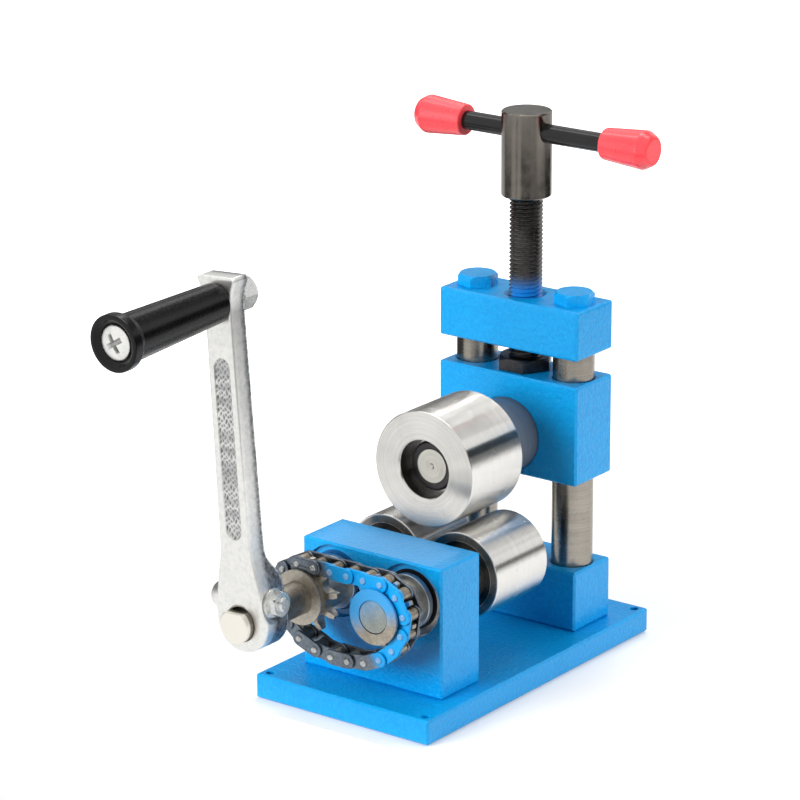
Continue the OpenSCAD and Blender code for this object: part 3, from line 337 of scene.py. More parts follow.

# %% [markdown]
# Some pieces differ from the rest of their slot: turned ones carry rings, those near the spray have blue
# on them, and the end of the crank shaft is paler with painted light. They get finishes of their own. CAD
# pieces that are shown as they are take theirs here, all others when their new shape is made.

# %% Finishes of single pieces
polished_turned = turned_steel("polished_turned", (232, 230, 226), (222, 220, 215), 0.25, 1.0)
column_turned = turned_steel("column_turned", (163, 157, 147), (145, 139, 130), 0.26, 0.5)
axle_turned = turned_steel("axle_turned", (222, 220, 211), (196, 194, 185), 0.34, 0.4, 700, 0.3)
spacer_turned = turned_steel("spacer_turned", (184, 194, 202), (160, 170, 178), 0.34, 0.6)
# The collar is grey steel with a blue tint, which is a painted reflection of the slide block beside it.
collar_turned = turned_steel("collar_turned", (124, 130, 138), (104, 110, 118), 0.42, 0.4, metal=0.5)
black_oxide = moulded("black_oxide", (20, 20, 20), (11, 11, 11), 0.2, 0.0, 400, 0.00002, 0.4)
head_steel = grained_steel("head_steel", (130, 124, 117), (114, 109, 102), 0.22, 1500, 0.02)
pin_steel = grained_steel("pin_steel", (206, 206, 202), (160, 162, 162), 0.3, tint=pin_spray)
hub_steel = grained_steel("hub_steel", (190, 182, 168), (150, 142, 128), 0.42, tint=hub_spray)
shaft_steel = grained_steel("shaft_steel", (172, 176, 170), (140, 146, 142), 0.36, tint=shaft_spray)
ring_steel = grained_steel("ring_steel", (206, 204, 200), (180, 178, 174), 0.24, tint=ring_spray)
chain_roller_steel = grained_steel("chain_roller_steel", (168, 160, 146), (120, 113, 102), 0.36)
bolt_zinc = cast_zinc("bolt_zinc", (244, 243, 239), (226, 227, 224))
thread_steel = grained_steel("thread_steel", (112, 110, 108), (76, 74, 73), 0.3, tint=screw_spray)


def painted_light_end(tree, shader, colour):
    """A tint: painted light on the end face of the crank shaft, which faces the front, so it is paler than
    the rest of the shaft.
    """
    return mixed(tree, along(tree, (0, -1, 0), 136.8, 138.0), colour, seen(246, 242, 232))


crank_shaft_steel = grained_steel("crank_shaft_steel", (156, 150, 140), (122, 116, 107), 0.44, tint=painted_light_end)
own_finish = {"bearing_outer_rings": ring_steel, "bearing_seals": sprayed_seal()}
for node, solid in solids.items():
    solid.data.materials.clear()
    solid.data.materials.append(own_finish.get(node, finishes[slot_of_node[node]]))
print("own finishes on CAD pieces:", ", ".join(own_finish))

# %% [markdown]
# Every new piece goes through one function. It takes points in millimetres and faces as arrays, merges
# doubles, turns the faces outwards, shades smooth apart from sharp edges, and ties the piece to its body
# and its CAD piece.

# %% Pieces from points and faces
def grid_faces(rows, columns, round_columns=False, copies=1):
    """Corner numbers of the four sided faces of a grid of points, closed round its columns if asked, and
    the same again for each further copy of the grid."""
    i = np.arange(rows - 1)[:, None]
    j = np.arange(columns if round_columns else columns - 1)[None]
    j2 = (j + 1) % columns
    one = np.stack(np.broadcast_arrays(i * columns + j, i * columns + j2, (i + 1) * columns + j2,
                                       (i + 1) * columns + j), -1).reshape(-1, 4)
    return (one[None] + np.arange(copies)[:, None, None] * rows * columns).reshape(-1, 4)


def joined(*parts):
    """Several (points, faces) as one: the faces' numbers move on by the points before them."""
    starts = np.cumsum([0] + [len(p) for p, _ in parts[:-1]])
    faces = [np.asarray(f) + s for (_, f), s in zip(parts, starts)]
    return np.concatenate([p for p, _ in parts]), np.concatenate(faces)


def put(name, points, faces, node, finish=None, uv=None, marks=None, sharp=40, flat_angle=0.0):
    """A mesh piece that stands for a CAD piece and rides on its body. Marks is a number for each point
    that a material can read. Faces flatter to each other than flat_angle are joined."""
    mesh = bpy.data.meshes.new(name)
    mesh.from_pydata((np.asarray(points) * MM).tolist(), [], np.asarray(faces).tolist())
    if uv is not None:
        mesh.uv_layers.new(name="UVMap").uv.foreach_set("vector", np.asarray(uv, np.float32).ravel())
    if marks is not None:
        layer = mesh.attributes.new("marks", "FLOAT", "POINT")
        layer.data.foreach_set("value", np.asarray(marks, np.float32))
    shape = bmesh.new()
    shape.from_mesh(mesh)
    bmesh.ops.remove_doubles(shape, verts=shape.verts, dist=1e-6)
    bmesh.ops.dissolve_degenerate(shape, edges=shape.edges, dist=1e-8)
    if flat_angle:
        limit = math.radians(flat_angle)
        bmesh.ops.dissolve_limit(shape, angle_limit=limit, verts=shape.verts, edges=shape.edges)
    else:
        bmesh.ops.recalc_face_normals(shape, faces=shape.faces)
    shape.to_mesh(mesh)
    shape.free()
    mesh.shade_smooth()
    mesh.set_sharp_from_angle(angle=math.radians(sharp))
    piece = bpy.data.objects.new(name, mesh)
    bpy.context.scene.collection.objects.link(piece)
    mesh.materials.append(finish or finishes[slot_of_node[node]])
    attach(piece, body_of_node[node])
    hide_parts(node)
    return piece


# %% [markdown]
# Milled blocks, bolts, nuts and sprockets keep their CAD shape, but nothing real has edges without any
# rounding, and it is the rounding that catches the light. A copy of each solid is merged, its flat
# triangles are joined, and a Bevel modifier rounds what is sharp.

# %% Pieces with rounded edges
def box_mm(node):
    """Lowest and highest corner of a CAD piece in millimetres."""
    low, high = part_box(node)
    return np.array(low) / MM, np.array(high) / MM


def softened(node, width, finish=None):
    """The CAD piece with every edge sharper than 30 degrees rounded over a width in millimetres."""
    mesh = solids[node].data
    points = np.empty(len(mesh.vertices) * 3, np.float32)
    corners = np.empty(len(mesh.loops), np.int32)
    mesh.vertices.foreach_get("co", points)
    mesh.loops.foreach_get("vertex_index", corners)
    piece = put(node + "_soft", points.reshape(-1, 3) / MM, corners.reshape(-1, 3), node, finish, sharp=30,
                flat_angle=1.0)
    rounding = piece.modifiers.new("rounding", "BEVEL")
    rounding.limit_method = "ANGLE"
    rounding.angle_limit = math.radians(30)
    rounding.width = width * MM
    rounding.segments = 3
    rounding.harden_normals = True
    return piece


BLOCK_EDGE, HEAD_EDGE, SHAFT_EDGE, NUT_EDGE, CLIP_EDGE = 0.45, 0.5, 0.35, 0.25, 0.1
for node in ("base_plate", "front_block", "rear_block", "slide_block", "crossbar"):
    softened(node, BLOCK_EDGE)
softened("column_bolts", SHAFT_EDGE)
for node in ("cotter_washer", "cotter_nut", "cotter_pin", "grip_nut", "thrust_nut"):
    softened(node, NUT_EDGE)
softened("screw_head", HEAD_EDGE, head_steel)
softened("left_sprocket", NUT_EDGE)
softened("right_sprocket", NUT_EDGE, hub_steel)
softened("crank_shaft", SHAFT_EDGE, crank_shaft_steel)
softened("right_shaft", SHAFT_EDGE, shaft_steel)
softened("chain_clip", CLIP_EDGE, finishes["chain_steel"])

# %% [markdown]
# Turned pieces are surfaces of revolution. A profile of radius and height is rounded at its corners, with
# short straight pieces kept beside each rounding so that flat faces stay flat when shaded, and is then
# carried round the axis. The UV map has the distance along the profile in u and the turn in v.

# %% Turned pieces
def rounded(corners, radius, steps=5, support=0.25):
    """Each corner of a profile becomes an arc between its two edges. Corners are (radius, height) or
    (radius, height, rounding): the arc starts and ends at the rounding over the tangent of half the angle
    from the corner, and a point is kept at a short distance before and after it."""
    points = np.array([c[:2] for c in corners], float)
    radii = [c[2] if len(c) > 2 else radius for c in corners]
    out = [points[:1]]
    for before, here, after, r in zip(points[:-2], points[1:-1], points[2:], radii[1:-1]):
        a, b = before - here, after - here
        la, lb = np.linalg.norm(a), np.linalg.norm(b)
        a, b = a / la, b / lb
        half = math.acos(np.clip(a @ b, -1, 1)) / 2
        if r <= 0 or half > math.radians(89):
            out.append(here[None])
            continue
        cut = min(r / math.tan(half), 0.45 * la, 0.45 * lb)
        t = np.linspace(0, 1, steps + 1)[:, None]
        start, end = here + a * cut, here + b * cut
        centre = here + (a + b) / np.linalg.norm(a + b) * cut / math.cos(half)
        arm_a, arm_b = start - centre, end - centre
        sweep = math.acos(np.clip(arm_a @ arm_b / (arm_a @ arm_a), -1, 1))
        arc = centre + (np.sin((1 - t) * sweep) * arm_a + np.sin(t * sweep) * arm_b) / math.sin(sweep)
        out += [(start + a * min(support, (la - cut) * 0.3))[None], arc,
                (end + b * min(support, (lb - cut) * 0.3))[None]]
    return np.concatenate(out + [points[-1:]])


AXES = {"X": ((0, 1, 0), (0, 0, 1), (1, 0, 0)), "Y": ((1, 0, 0), (0, 0, 1), (0, 1, 0)),
        "Z": ((1, 0, 0), (0, 1, 0), (0, 0, 1))}


def turned_points(profile, axis, centres, count=160):
    """Points, faces and UV map of a profile carried round an axis through each centre: place = centre +
    radius times (cosine of the turn along one cross axis + sine of it along the other) + height along the
    axis."""
    centres = np.atleast_2d(np.asarray(centres, float))
    across, over, along_axis = (np.array(v, float) for v in AXES[axis])
    angle = np.linspace(0, 2 * np.pi, count, endpoint=False)
    ring = np.cos(angle)[:, None] * across + np.sin(angle)[:, None] * over
    points = profile[:, 0, None, None] * ring + profile[:, 1, None, None] * along_axis
    points = (points[None] + centres[:, None, None]).reshape(-1, 3)
    faces = grid_faces(len(profile), count, True, len(centres))
    length = np.concatenate([[0], np.cumsum(np.linalg.norm(np.diff(profile, axis=0), axis=1))]) * MM
    row, column = faces // count % len(profile), faces % count
    around = np.where((column == 0) & np.array([False, True, True, False]), count, column) / count
    return points, faces, np.stack([length[row], around], -1)


def turned(name, profile, axis, centres, node, finish=None, count=160, sharp=40, black=None):
    """A turned piece, or several alike, in place of a CAD piece. Black is a function of the profile's
    radius and height that marks where the finish darkens."""
    points, faces, uv = turned_points(profile, axis, centres, count)
    marks = None
    if black is not None:
        copies = len(points) // len(profile) // count
        marks = np.tile(np.repeat(black(*profile.T), count), copies)
    return put(name, points, faces, node, finish, uv, marks, sharp)


def round_axis(node, axis="Y"):
    """Centre, end heights and outer radius of a round CAD piece along an axis."""
    low, high = box_mm(node)
    middle = (low + high) / 2
    k = "XYZ".index(axis)
    middle[k] = 0
    return middle, low[k], high[k], np.delete(high - low, k).max() / 2


# %% [markdown]
# The three rollers. The lower ones have a shallow recess in the front face, and the upper one is bored
# out for its bearings. Their profiles are closed loops, from the bore round the outside and back. The
# fronts of the lower ones sit in the shade of the front block, and their points are marked for painted
# shade. The points inside the bore of the upper one are marked darker too.

# %% Rollers
SEAT_R, DISH_R, DISH_T, PAINTED_SHADE_R = 11.0, 16.5, 1.2, 20.2


def lower_face_painted_shade(r, y, front):
    """Painted shade on the front of a lower roller: the whole recess, and the face outside it apart from its
    rims."""
    recess = (r < DISH_R + 0.1) & (y > front + 0.3)
    face = (r > DISH_R + 0.4) & (r < PAINTED_SHADE_R) & (y < front + 0.2)
    return 0.92 * recess + 0.7 * face


for side in ("left", "right"):
    centre, front, back, r = round_axis(side + "_roller")
    profile = rounded([(SEAT_R, back), (SEAT_R, front + DISH_T), (DISH_R, front + DISH_T),
                       (DISH_R, front, 0.25), (DISH_R + 1, front), (r - 1, front), (r, front, 0.7),
                       (r, back, 0.7), (SEAT_R, back)], 0.3)
    turned(side + "_roller_polished", profile, "Y", centre, side + "_roller", polished_turned,
           black=lambda r, y: lower_face_painted_shade(r, y, front))
    print(side, "roller", round(2 * r, 2), "mm across,", round(back - front, 2), "mm long")

centre, front, back, r = round_axis("upper_roller")
BORE_R, WEB_R, BEARING_L = 14.0, 12.0, 7.0
pocket_front = box_mm("upper_outer_rings")[0][1] + BEARING_L
pocket_back = box_mm("upper_outer_rings")[1][1] - BEARING_L
profile = rounded([(WEB_R, pocket_front + 5), (WEB_R, pocket_front), (BORE_R, pocket_front),
                   (BORE_R, front, 0.9), (r, front, 0.6), (r, back, 0.6), (BORE_R, back),
                   (BORE_R, pocket_back), (WEB_R, pocket_back), (WEB_R, pocket_front + 5)], 0.2)
turned("upper_roller_polished", profile, "Y", centre, "upper_roller", polished_turned, 200,
       black=lambda r, y: 0.97 * (r < BORE_R + 0.1) * (y > front + 0.85))
print("upper roller", round(2 * r, 2), "mm across")

# %% [markdown]
# The axle of the upper roller ends inside the bore with a turned face and a small centre mark. Behind the
# roller it has a thick collar against the slide block. The two parts look different, so they are two
# pieces.

# %% Upper axle
centre, axle_front, axle_back, collar_r = round_axis("upper_axle")
AXLE_R, NOSE_R, TAIL_R, COLLAR_GAP, NOSE_L = 8.5, 10.5, 11.0, 0.7, 2
slide_front = box_mm("slide_block")[0][1]
collar_front = box_mm("upper_roller")[1][1] + COLLAR_GAP
profile = rounded([(0, axle_front + 0.9), (0.9, axle_front + 0.35, 0.3), (1.6, axle_front, 0.3),
                   (AXLE_R, axle_front, 0.6), (AXLE_R, collar_front - NOSE_L),
                   (0, collar_front - NOSE_L)], 0.1)
turned("axle_end", profile, "Y", centre, "upper_axle", axle_turned, 96)
profile = rounded([(0, collar_front - NOSE_L), (NOSE_R, collar_front - NOSE_L), (NOSE_R, collar_front),
                   (collar_r, collar_front, 0.8), (collar_r, slide_front + 0.6), (TAIL_R, slide_front + 0.6),
                   (TAIL_R, axle_back, 0.6), (0, axle_back)], 0.1)
turned("axle_collar", profile, "Y", centre, "upper_axle", collar_turned, 128)
print("axle", round(axle_back - axle_front, 1), "mm long")

# %% [markdown]
# Columns, spacers, sliding bar and caps are simple turned pieces too. The caps widen outwards and end in
# a broad bevel.

# %% Columns, spacers, bar and caps
JOURNAL_R, STEP, STEP_T = 8.5, 1.2, 2.4
for side in ("left", "right"):
    centre, foot, top, r = round_axis(side + "_column", "Z")
    profile = rounded([(0, foot), (r, foot), (r, top), (0, top)], 0.4)
    turned(side + "_column_ground", profile, "Z", centre, side + "_column", column_turned, 96)
    centre, front, back, r = round_axis(side + "_spacer")
    inner_r = r - STEP_T
    profile = rounded([(JOURNAL_R, front), (r, front, 0.5), (r, back - STEP, 0.3), (inner_r, back - STEP),
                       (inner_r, back), (JOURNAL_R, back), (JOURNAL_R, front)], 0.1)
    turned(side + "_spacer_turned", profile, "Y", centre, side + "_spacer", spacer_turned, 96)

centre, near, far, r = round_axis("sliding_bar", "X")
bar_profile = rounded([(0, near), (r, near), (r, far), (0, far)], 0.4)
turned("bar_black", bar_profile, "X", centre, "sliding_bar", black_oxide, 64)
BAR_R, CAP_IN_R, CAP_END_R, CAP_BEVEL, BAR_IN_CAP = r, 7.5, 6.8, 4.5, 20.0
for side, way in (("left", -1), ("right", 1)):
    centre, low, high, cap_r = round_axis(side + "_cap", "X")
    inner, outer = (low, high) if way > 0 else (high, low)
    profile = rounded([(BAR_R, inner), (CAP_IN_R, inner, 0.8), (cap_r, outer - way * CAP_BEVEL, 3.0),
                       (CAP_END_R, outer, 2.0), (0, outer), (0, inner + way * BAR_IN_CAP),
                       (BAR_R, inner + way * BAR_IN_CAP), (BAR_R, inner)], 0.05, 8)
    turned(side + "_cap_red", profile, "X", centre, side + "_cap", None, 96)
print("bar", round(far - near, 1), "mm long")

# %% [markdown]
# The pressure screw has a real helical thread, which a row of CAD rings only stands for. The thread's
# profile is carried along a helix, so that each turn joins the next one. At both ends it is cut off level
# and sinks to the root of the thread, where plain ends close the rod.

# %% Pressure screw
ROOT_R, CREST_R, PITCH, PLAIN_R = 6.8, 8.0, 2.0, 6.0
THREAD_SIDES = 56
centre, rod_low, rod_high, _ = round_axis("pressure_screw", "Z")
thread_low = box_mm("thrust_nut")[0][2]
thread_high = box_mm("screw_head")[0][2]


def helix_rod(low, high):
    """A point lies at turn a and share s of the pitch: its height is low + pitch times (a over a full
    turn + s), held between low and high, and its radius is root + thread depth times the profile at s,
    which fades out within a turn of both ends."""
    turns = math.ceil((high - low) / PITCH) + 2
    a = np.linspace(-2 * np.pi, 2 * np.pi * turns, (turns + 1) * THREAD_SIDES + 1)[:, None]
    share = np.array([0.0, 0.08, 0.40, 0.45, 0.55, 0.60, 0.92, 1.0])[None]
    depth = np.array([0.0, 0.03, 0.9, 1.0, 1.0, 0.9, 0.03, 0.0])[None]
    raw = low + PITCH * (a / (2 * np.pi) + share)
    z = np.clip(raw, low, high)
    fade = np.clip((z - low) / PITCH, 0, 1) * np.clip((high - z) / PITCH, 0, 1)
    r = ROOT_R + (CREST_R - ROOT_R) * depth * fade
    points = np.stack([r * np.cos(a), r * np.sin(a), z], -1).reshape(-1, 3)
    return points, grid_faces(*raw.shape)


plain_low = rounded([(0, rod_low), (PLAIN_R, rod_low, 0.5), (PLAIN_R, thread_low),
                     (ROOT_R, thread_low)], 0.05)
plain_high = np.array([(ROOT_R, thread_high), (PLAIN_R, thread_high), (PLAIN_R, rod_high), (0, rod_high)])
rod_parts = [helix_rod(thread_low, thread_high)]
rod_parts += [turned_points(p, "Z", (0, 0, 0), THREAD_SIDES)[:2] for p in (plain_low, plain_high)]
points, faces = joined(*rod_parts)
put("pressure_screw_thread", points + centre, faces, "pressure_screw", thread_steel, sharp=50)
print("thread", round(thread_high - thread_low, 1), "mm long")

# %% [markdown]
# The grip is a moulded tube that widens towards its flange. Its end is sunk like a funnel, and a bright
# bolt with a domed cross head sits there. The bolt droops a little, so grip and bolt are turned about the
# Y axis first and then tilted onto the axis of their joint.

# %% Grip
grip_joint = next(j for j in frame["record"]["behaviour"]["joints"] if j["name"] == "grip_spin")
tilt_matrix = np.array(Vector((0, 1, 0)).rotation_difference(Vector(grip_joint["axis"])).to_matrix())
grip_pivot = np.array(grip_joint["pos_m"]) / MM


def drooped(points):
    """Points about the Y axis, tilted by the rotation from Y to the joint's axis and moved to its
    place."""
    return points @ tilt_matrix.T + grip_pivot


GRIP_L, GRIP_GAP, GRIP_R, GRIP_IN_R, GRIP_HOLE_R, FLANGE_R = 68.96, 0.6, 10.8, 9.2, 4.05, 13.0
FLANGE_L, FLARE_L, LIP, MOUTH_R, MOUTH_T, RECESS_R, RECESS_T = 4.5, 4.5, 1.5, 11.0, 2.4, 8.5, 3.4
grip_back = -GRIP_GAP
grip_front = grip_back - GRIP_L
t = np.linspace(0, 1, 13)
flare = np.stack([GRIP_R + (FLANGE_R - GRIP_R) * (1 - np.cos(np.pi * t)) / 2,
                  grip_front + FLANGE_L + FLARE_L * (1 - t)], 1)
body_end = rounded([(GRIP_HOLE_R, grip_back), (GRIP_IN_R, grip_back, LIP), flare[0]], LIP)
lip = rounded([flare[-1], (FLANGE_R, grip_front, LIP), (MOUTH_R, grip_front, 0.9),
               (RECESS_R, grip_front + MOUTH_T, 0.3), (RECESS_R, grip_front + RECESS_T, 0.2),
               (GRIP_HOLE_R, grip_front + RECESS_T), (GRIP_HOLE_R, grip_back)], 0.1, 8)
points, faces, uv = turned_points(np.concatenate([body_end, flare[1:], lip[1:]]), "Y", (0, 0, 0), 128)
put("grip_moulded", drooped(points), faces, "grip", uv=uv)
print("grip", round(grip_back - grip_front, 1), "mm long")

# %% [markdown]
# The bolt is a dome with a cross sunk into it, and a plain shank. The dome is one grid of radius and
# turn, fine enough for the sides of the cross, and the bottom of the cross is marked for painted shade.

# %% Grip bolt
HEAD_R, HEAD_H, SHANK_R, CROSS_L, CROSS_W, CROSS_T = 8.0, 2.8, 4.0, 4.8, 0.9, 1.9
head_seat = grip_front + RECESS_T - 0.3
BOLT_END, HEAD_ROWS, HEAD_SIDES = 21.7, 60, 144


def cross_head():
    """A point at radius r and turn a of the head lies at the seat less the head's height times (0.3 + 0.7
    times the cosine of the angle whose sine is r over the head's radius). The cross sinks it by the
    smaller of the depths that its two arms leave, each a soft step across the arm and along it."""
    r = HEAD_R * np.sin(np.linspace(0, np.pi / 2, HEAD_ROWS))[:, None]
    a = np.linspace(0, 2 * np.pi, HEAD_SIDES, endpoint=False)[None]
    x, z = r * np.cos(a - math.radians(30)), r * np.sin(a - math.radians(30))
    y = head_seat - HEAD_H * (0.3 + 0.7 * np.sqrt(np.maximum(1 - (r / HEAD_R) ** 2, 0))) + 0 * a

    def arm(across, lengthways):
        side = np.clip((CROSS_W + 0.25 - np.abs(across)) / 0.4, 0, 1)
        end = np.clip((CROSS_L - np.abs(lengthways)) / 1.4, 0, 1)
        return np.minimum(side, end)

    sink = CROSS_T * np.maximum(arm(x, z), arm(z, x))
    dome = np.stack(np.broadcast_arrays(r * np.cos(a), y + sink, r * np.sin(a)), -1).reshape(-1, 3)
    shank = np.array([(HEAD_R, head_seat - 0.3 * HEAD_H), (HEAD_R, head_seat), (SHANK_R, head_seat),
                      (SHANK_R, BOLT_END), (0, BOLT_END)])
    stem = turned_points(shank, "Y", (0, 0, 0), HEAD_SIDES)[:2]
    points, faces = joined((dome, grid_faces(HEAD_ROWS, HEAD_SIDES, True)), stem)
    # Painted shade in the cross, darkest at its bottom.
    marks = np.concatenate([0.6 * sink.ravel() / CROSS_T, np.zeros(len(stem[0]))])
    return drooped(points), faces, marks


points, faces, marks = cross_head()
put("grip_bolt_cross_head", points, faces, "grip_bolt", bolt_zinc, marks=marks, sharp=35)
print("bolt head", 2 * HEAD_R, "mm across")

# %% [markdown]
# The chain runs over both sprockets and hangs slack below. The pins on the sprockets sit on their pitch
# circle, and the four hanging links turn more and more to level, with the bend at which both halves meet
# in the middle.

# %% Pins of the chain
LINK, TEETH, SEATS, HANGING, PIN_R = 9.525, 10, 4, 4, 1.65
left_axis, right_axis = round_axis("left_roller")[0], round_axis("right_roller")[0]
axis_x, axis_z = right_axis[0], right_axis[2]
pitch_r = LINK / (2 * math.sin(math.pi / TEETH))
first_seat = math.acos((2.5 * LINK - axis_x) / pitch_r)
slack = first_seat - (SEATS - 1.5) * 2 * math.pi / TEETH - math.pi / 2


def hanging_run(bend):
    """Places of the hanging pins after the last seated one: link after link, where link i of n heads from
    the slack angle to level by the share 1 - (1 - i over n + 1) to the power of the bend."""
    share = 1 - (1 - np.arange(1, HANGING + 1) / (HANGING + 1)) ** bend
    heading = slack - (math.pi + slack) * share
    return LINK * np.cumsum(np.stack([np.cos(heading), np.sin(heading)], 1), 0)


seat_angle = first_seat - np.arange(SEATS) * 2 * math.pi / TEETH
seated = np.stack([axis_x + pitch_r * np.cos(seat_angle), axis_z + pitch_r * np.sin(seat_angle)], 1)
low_bend, high_bend = 0.3, 8.0
for _ in range(40):
    bend = (low_bend + high_bend) / 2
    wide = seated[-1, 0] + hanging_run(bend)[-1, 0] > LINK / 2
    low_bend, high_bend = (bend, high_bend) if wide else (low_bend, bend)
upper = np.stack([LINK * np.array([0.5, 1.5]), np.full(2, seated[0, 1])], 1)
right_pins = np.concatenate([upper, seated, seated[-1] + hanging_run(bend)])
pins = np.concatenate([right_pins, right_pins[::-1] * (-1, 1)])
chain_y = (box_mm("chain_pins")[0][1] + box_mm("chain_pins")[1][1]) / 2
pin_places = np.stack([pins[:, 0], np.full(len(pins), chain_y), pins[:, 1]], 1)
cad_width = np.ptp(box_mm("chain_pins"), 0)[0] - 2 * PIN_R
print("chain width", np.ptp(pins[:, 0]).round(2), "CAD less a pin", cad_width.round(2))

# %% [markdown]
# Each link has two plates with round ends. A plate is a rounded profile carried round the line between
# its two pins, which gives the punched edge its small radius. Rivet heads are domed with a small dent.

# %% Links, rollers and rivets
PLATE_R, ROLLER_R, ROLLER_BORE_R, ROLLER_HALF = 3.6, 3.175, 2.3, 2.7
INNER_FACE, INNER_T, OUTER_FACE, OUTER_T, PIN_END = 2.86, 1.3, 4.26, 1.1, 6.16


def link_plates(first, face, thickness, half_ring=14):
    """Plates of every second link: a point at reach r and turn q is the pin on that side + r times
    (cosine of q along the link + sine of q across it). The profile gives reach and depth, on both sides
    of the chain."""
    start, end = pins[first::2], np.roll(pins, -1, 0)[first::2]
    ahead = (end - start) / np.linalg.norm(end - start, axis=1)[:, None]
    aside = np.stack([-ahead[:, 1], ahead[:, 0]], 1)
    quarter = np.linspace(-np.pi / 2, np.pi / 2, half_ring)
    q = np.concatenate([quarter, quarter + np.pi])
    out = np.cos(q)[None, :, None] * ahead[:, None] + np.sin(q)[None, :, None] * aside[:, None]
    pin = np.where((np.arange(len(q)) < half_ring)[None, :, None], end[:, None], start[:, None])
    parts = []
    for front in (-face - thickness, face):
        profile = rounded([(0, front), (PLATE_R, front, 0.3), (PLATE_R, front + thickness, 0.3),
                           (0, front + thickness)], 0.3, 4, 0.1)
        flat = pin[:, None] + profile[None, :, 0, None, None] * out[:, None]
        depth = np.broadcast_to(chain_y + profile[None, :, 1, None], flat.shape[:3])
        points = np.stack([flat[..., 0], depth, flat[..., 1]], -1).reshape(-1, 3)
        parts.append((points, grid_faces(len(profile), len(q), True, len(start))))
    return joined(*parts)


put("chain_inner_links", *link_plates(0, INNER_FACE, INNER_T), "chain_inner_plates")
put("chain_outer_links", *link_plates(1, OUTER_FACE, OUTER_T), "chain_outer_plates")
dome = np.array([(0, 0.25), (0.35, 0.18), (0.6, 0.04), (0.9, 0.0), (1.2, 0.1), (1.45, 0.28), (PIN_R, 0.55)])
rivet = np.concatenate([dome - (0, PIN_END), dome[::-1] * (1, -1) + (0, PIN_END)])
turned("chain_rivets", rivet, "Y", pin_places, "chain_pins", pin_steel, 24, 60)
tube = rounded([(ROLLER_BORE_R, -ROLLER_HALF), (ROLLER_R, -ROLLER_HALF), (ROLLER_R, ROLLER_HALF),
                (ROLLER_BORE_R, ROLLER_HALF), (ROLLER_BORE_R, -ROLLER_HALF)], 0.35, 3)
turned("chain_roller_set", tube, "Y", pin_places, "chain_rollers", chain_roller_steel, 32)
print(len(pins), "links")

# %% [markdown]
# The crank is a zinc plated casting with a round boss, a waist, a long sunk panel with a rough cross
# pattern and a flared end. Front and back are height fields over one outline: the edge rounding follows
# from the distance to the outline, and the panel is pressed in. Round the bore the grid is polar, along
# the arm it is square, and both share the points of one line across the neck, where they are merged.

# %% Crank outline
BOSS_R, ARM_LOW, ARM_TOP, LEAN = 14.0, 9.0, 7.3, math.radians(3.9)
FLARE_Z, END_Z, END_HALF, END_ROUND = 145.0, 160.6, 10.7, 2.2
CRANK_BORE_R, NECK_Z = 8.0, 26.0
crank_box = box_mm("crank_arm")
boss_front, boss_back, arm_back = crank_box[0][1], crank_box[1][1], box_mm("grip_nut")[0][1]


def smooth(t):
    """Soft step from 0 to 1: three times t squared less twice t cubed."""
    t = np.clip(t, 0, 1)
    return t * t * (3 - 2 * t)


def half_width(z):
    """Half the crank's width at height z: a slowly narrowing arm with a soft step out to the boss, which
    is a half circle below the shaft. The end flares with the square of the height and has rounded
    corners."""
    arm = ARM_LOW + (ARM_TOP - ARM_LOW) * np.minimum(z / FLARE_Z, 1)
    foot = arm + (BOSS_R - arm) * (1 - smooth((z - 2) / 36))
    flare = (END_HALF - ARM_TOP) * np.clip((z - FLARE_Z) / (END_Z - FLARE_Z - 1.6), 0, 1) ** 2
    corner = END_ROUND - np.sqrt(np.maximum(END_ROUND ** 2 - np.maximum(z - END_Z + END_ROUND, 0) ** 2, 0))
    low = np.sqrt(np.maximum(BOSS_R ** 2 - z ** 2, 0))
    return np.where(z < 0, low, foot + flare - corner)


def edge_distance(x, z):
    """Distance inwards from the outline: from the boss circle, the sides or the flat top."""
    side = np.minimum(half_width(z) - np.abs(x), END_Z - z)
    return np.maximum(np.where(z < 0, BOSS_R - np.hypot(x, z), side), 0)


print("half width at shaft, middle and end:", half_width(np.array([0, 75, END_Z - END_ROUND])).round(2))

# %% Crank relief
PANEL_R, PANEL_T, PANEL_LOW, PANEL_TOP = 4.5, 0.8, 44.0, 119.0
HATCH, HATCH_T = 2.7, 0.45


def edge_drop(distance, r):
    """How far a rounded edge falls back: the radius less the height of a circle of that radius."""
    inward = np.maximum(r - distance, 0)
    return r - np.sqrt(np.maximum(r * r - inward ** 2, 0))


def panel_relief(x, z):
    """Depth of the sunk panel, and how much of it is groove: inside a slot with round ends the floor lies
    at the panel's depth, less ridges along two slanting directions, bent by slow sines so that they look
    cast."""
    inside = PANEL_R - np.hypot(x, z - np.clip(z, PANEL_LOW, PANEL_TOP))
    sunk = smooth((inside + 0.3) / 0.8)
    bent = 0.45 * np.sin(0.83 * z + 0.6 * x) + 0.3 * np.sin(1.9 * x - 0.37 * z)
    ridge_a = np.abs(np.cos(np.pi * (x + 0.9 * z + bent) / HATCH)) ** 3
    ridge_b = np.abs(np.cos(np.pi * (x - 0.9 * z - bent) / HATCH)) ** 3
    ridge = np.maximum(ridge_a, ridge_b) * (0.75 + 0.25 * np.sin(0.61 * z + 2.3 * np.sin(0.23 * z)))
    groove = sunk * smooth((inside + 0.1) / 0.6) * (1 - ridge)
    return PANEL_T * sunk + HATCH_T * (groove - 0.5 * sunk), groove


def front_height(x, z):
    """Depth of the front face: its plane, the edge rounding, which is larger at the boss, the panel and a
    small bevel at the bore."""
    depth, _ = panel_relief(x, z)
    bore = np.maximum(0.5 - (np.hypot(x, z) - CRANK_BORE_R), 0)
    edge = 1.2 + 1.6 * (1 - smooth((z + 4) / 30))
    return boss_front + edge_drop(edge_distance(x, z), edge) + depth + bore


def back_height(x, z):
    """Depth of the back face: the thick boss falls to the arm with a soft step, less the edge
    rounding."""
    plane = arm_back + (boss_back - arm_back) * (1 - smooth((z - 18) / 14))
    return plane - edge_drop(edge_distance(x, z), 1.5)


print("mean depth of the panel", panel_relief(0.0, np.linspace(50, 110, 200))[0].mean().round(2), "mm")

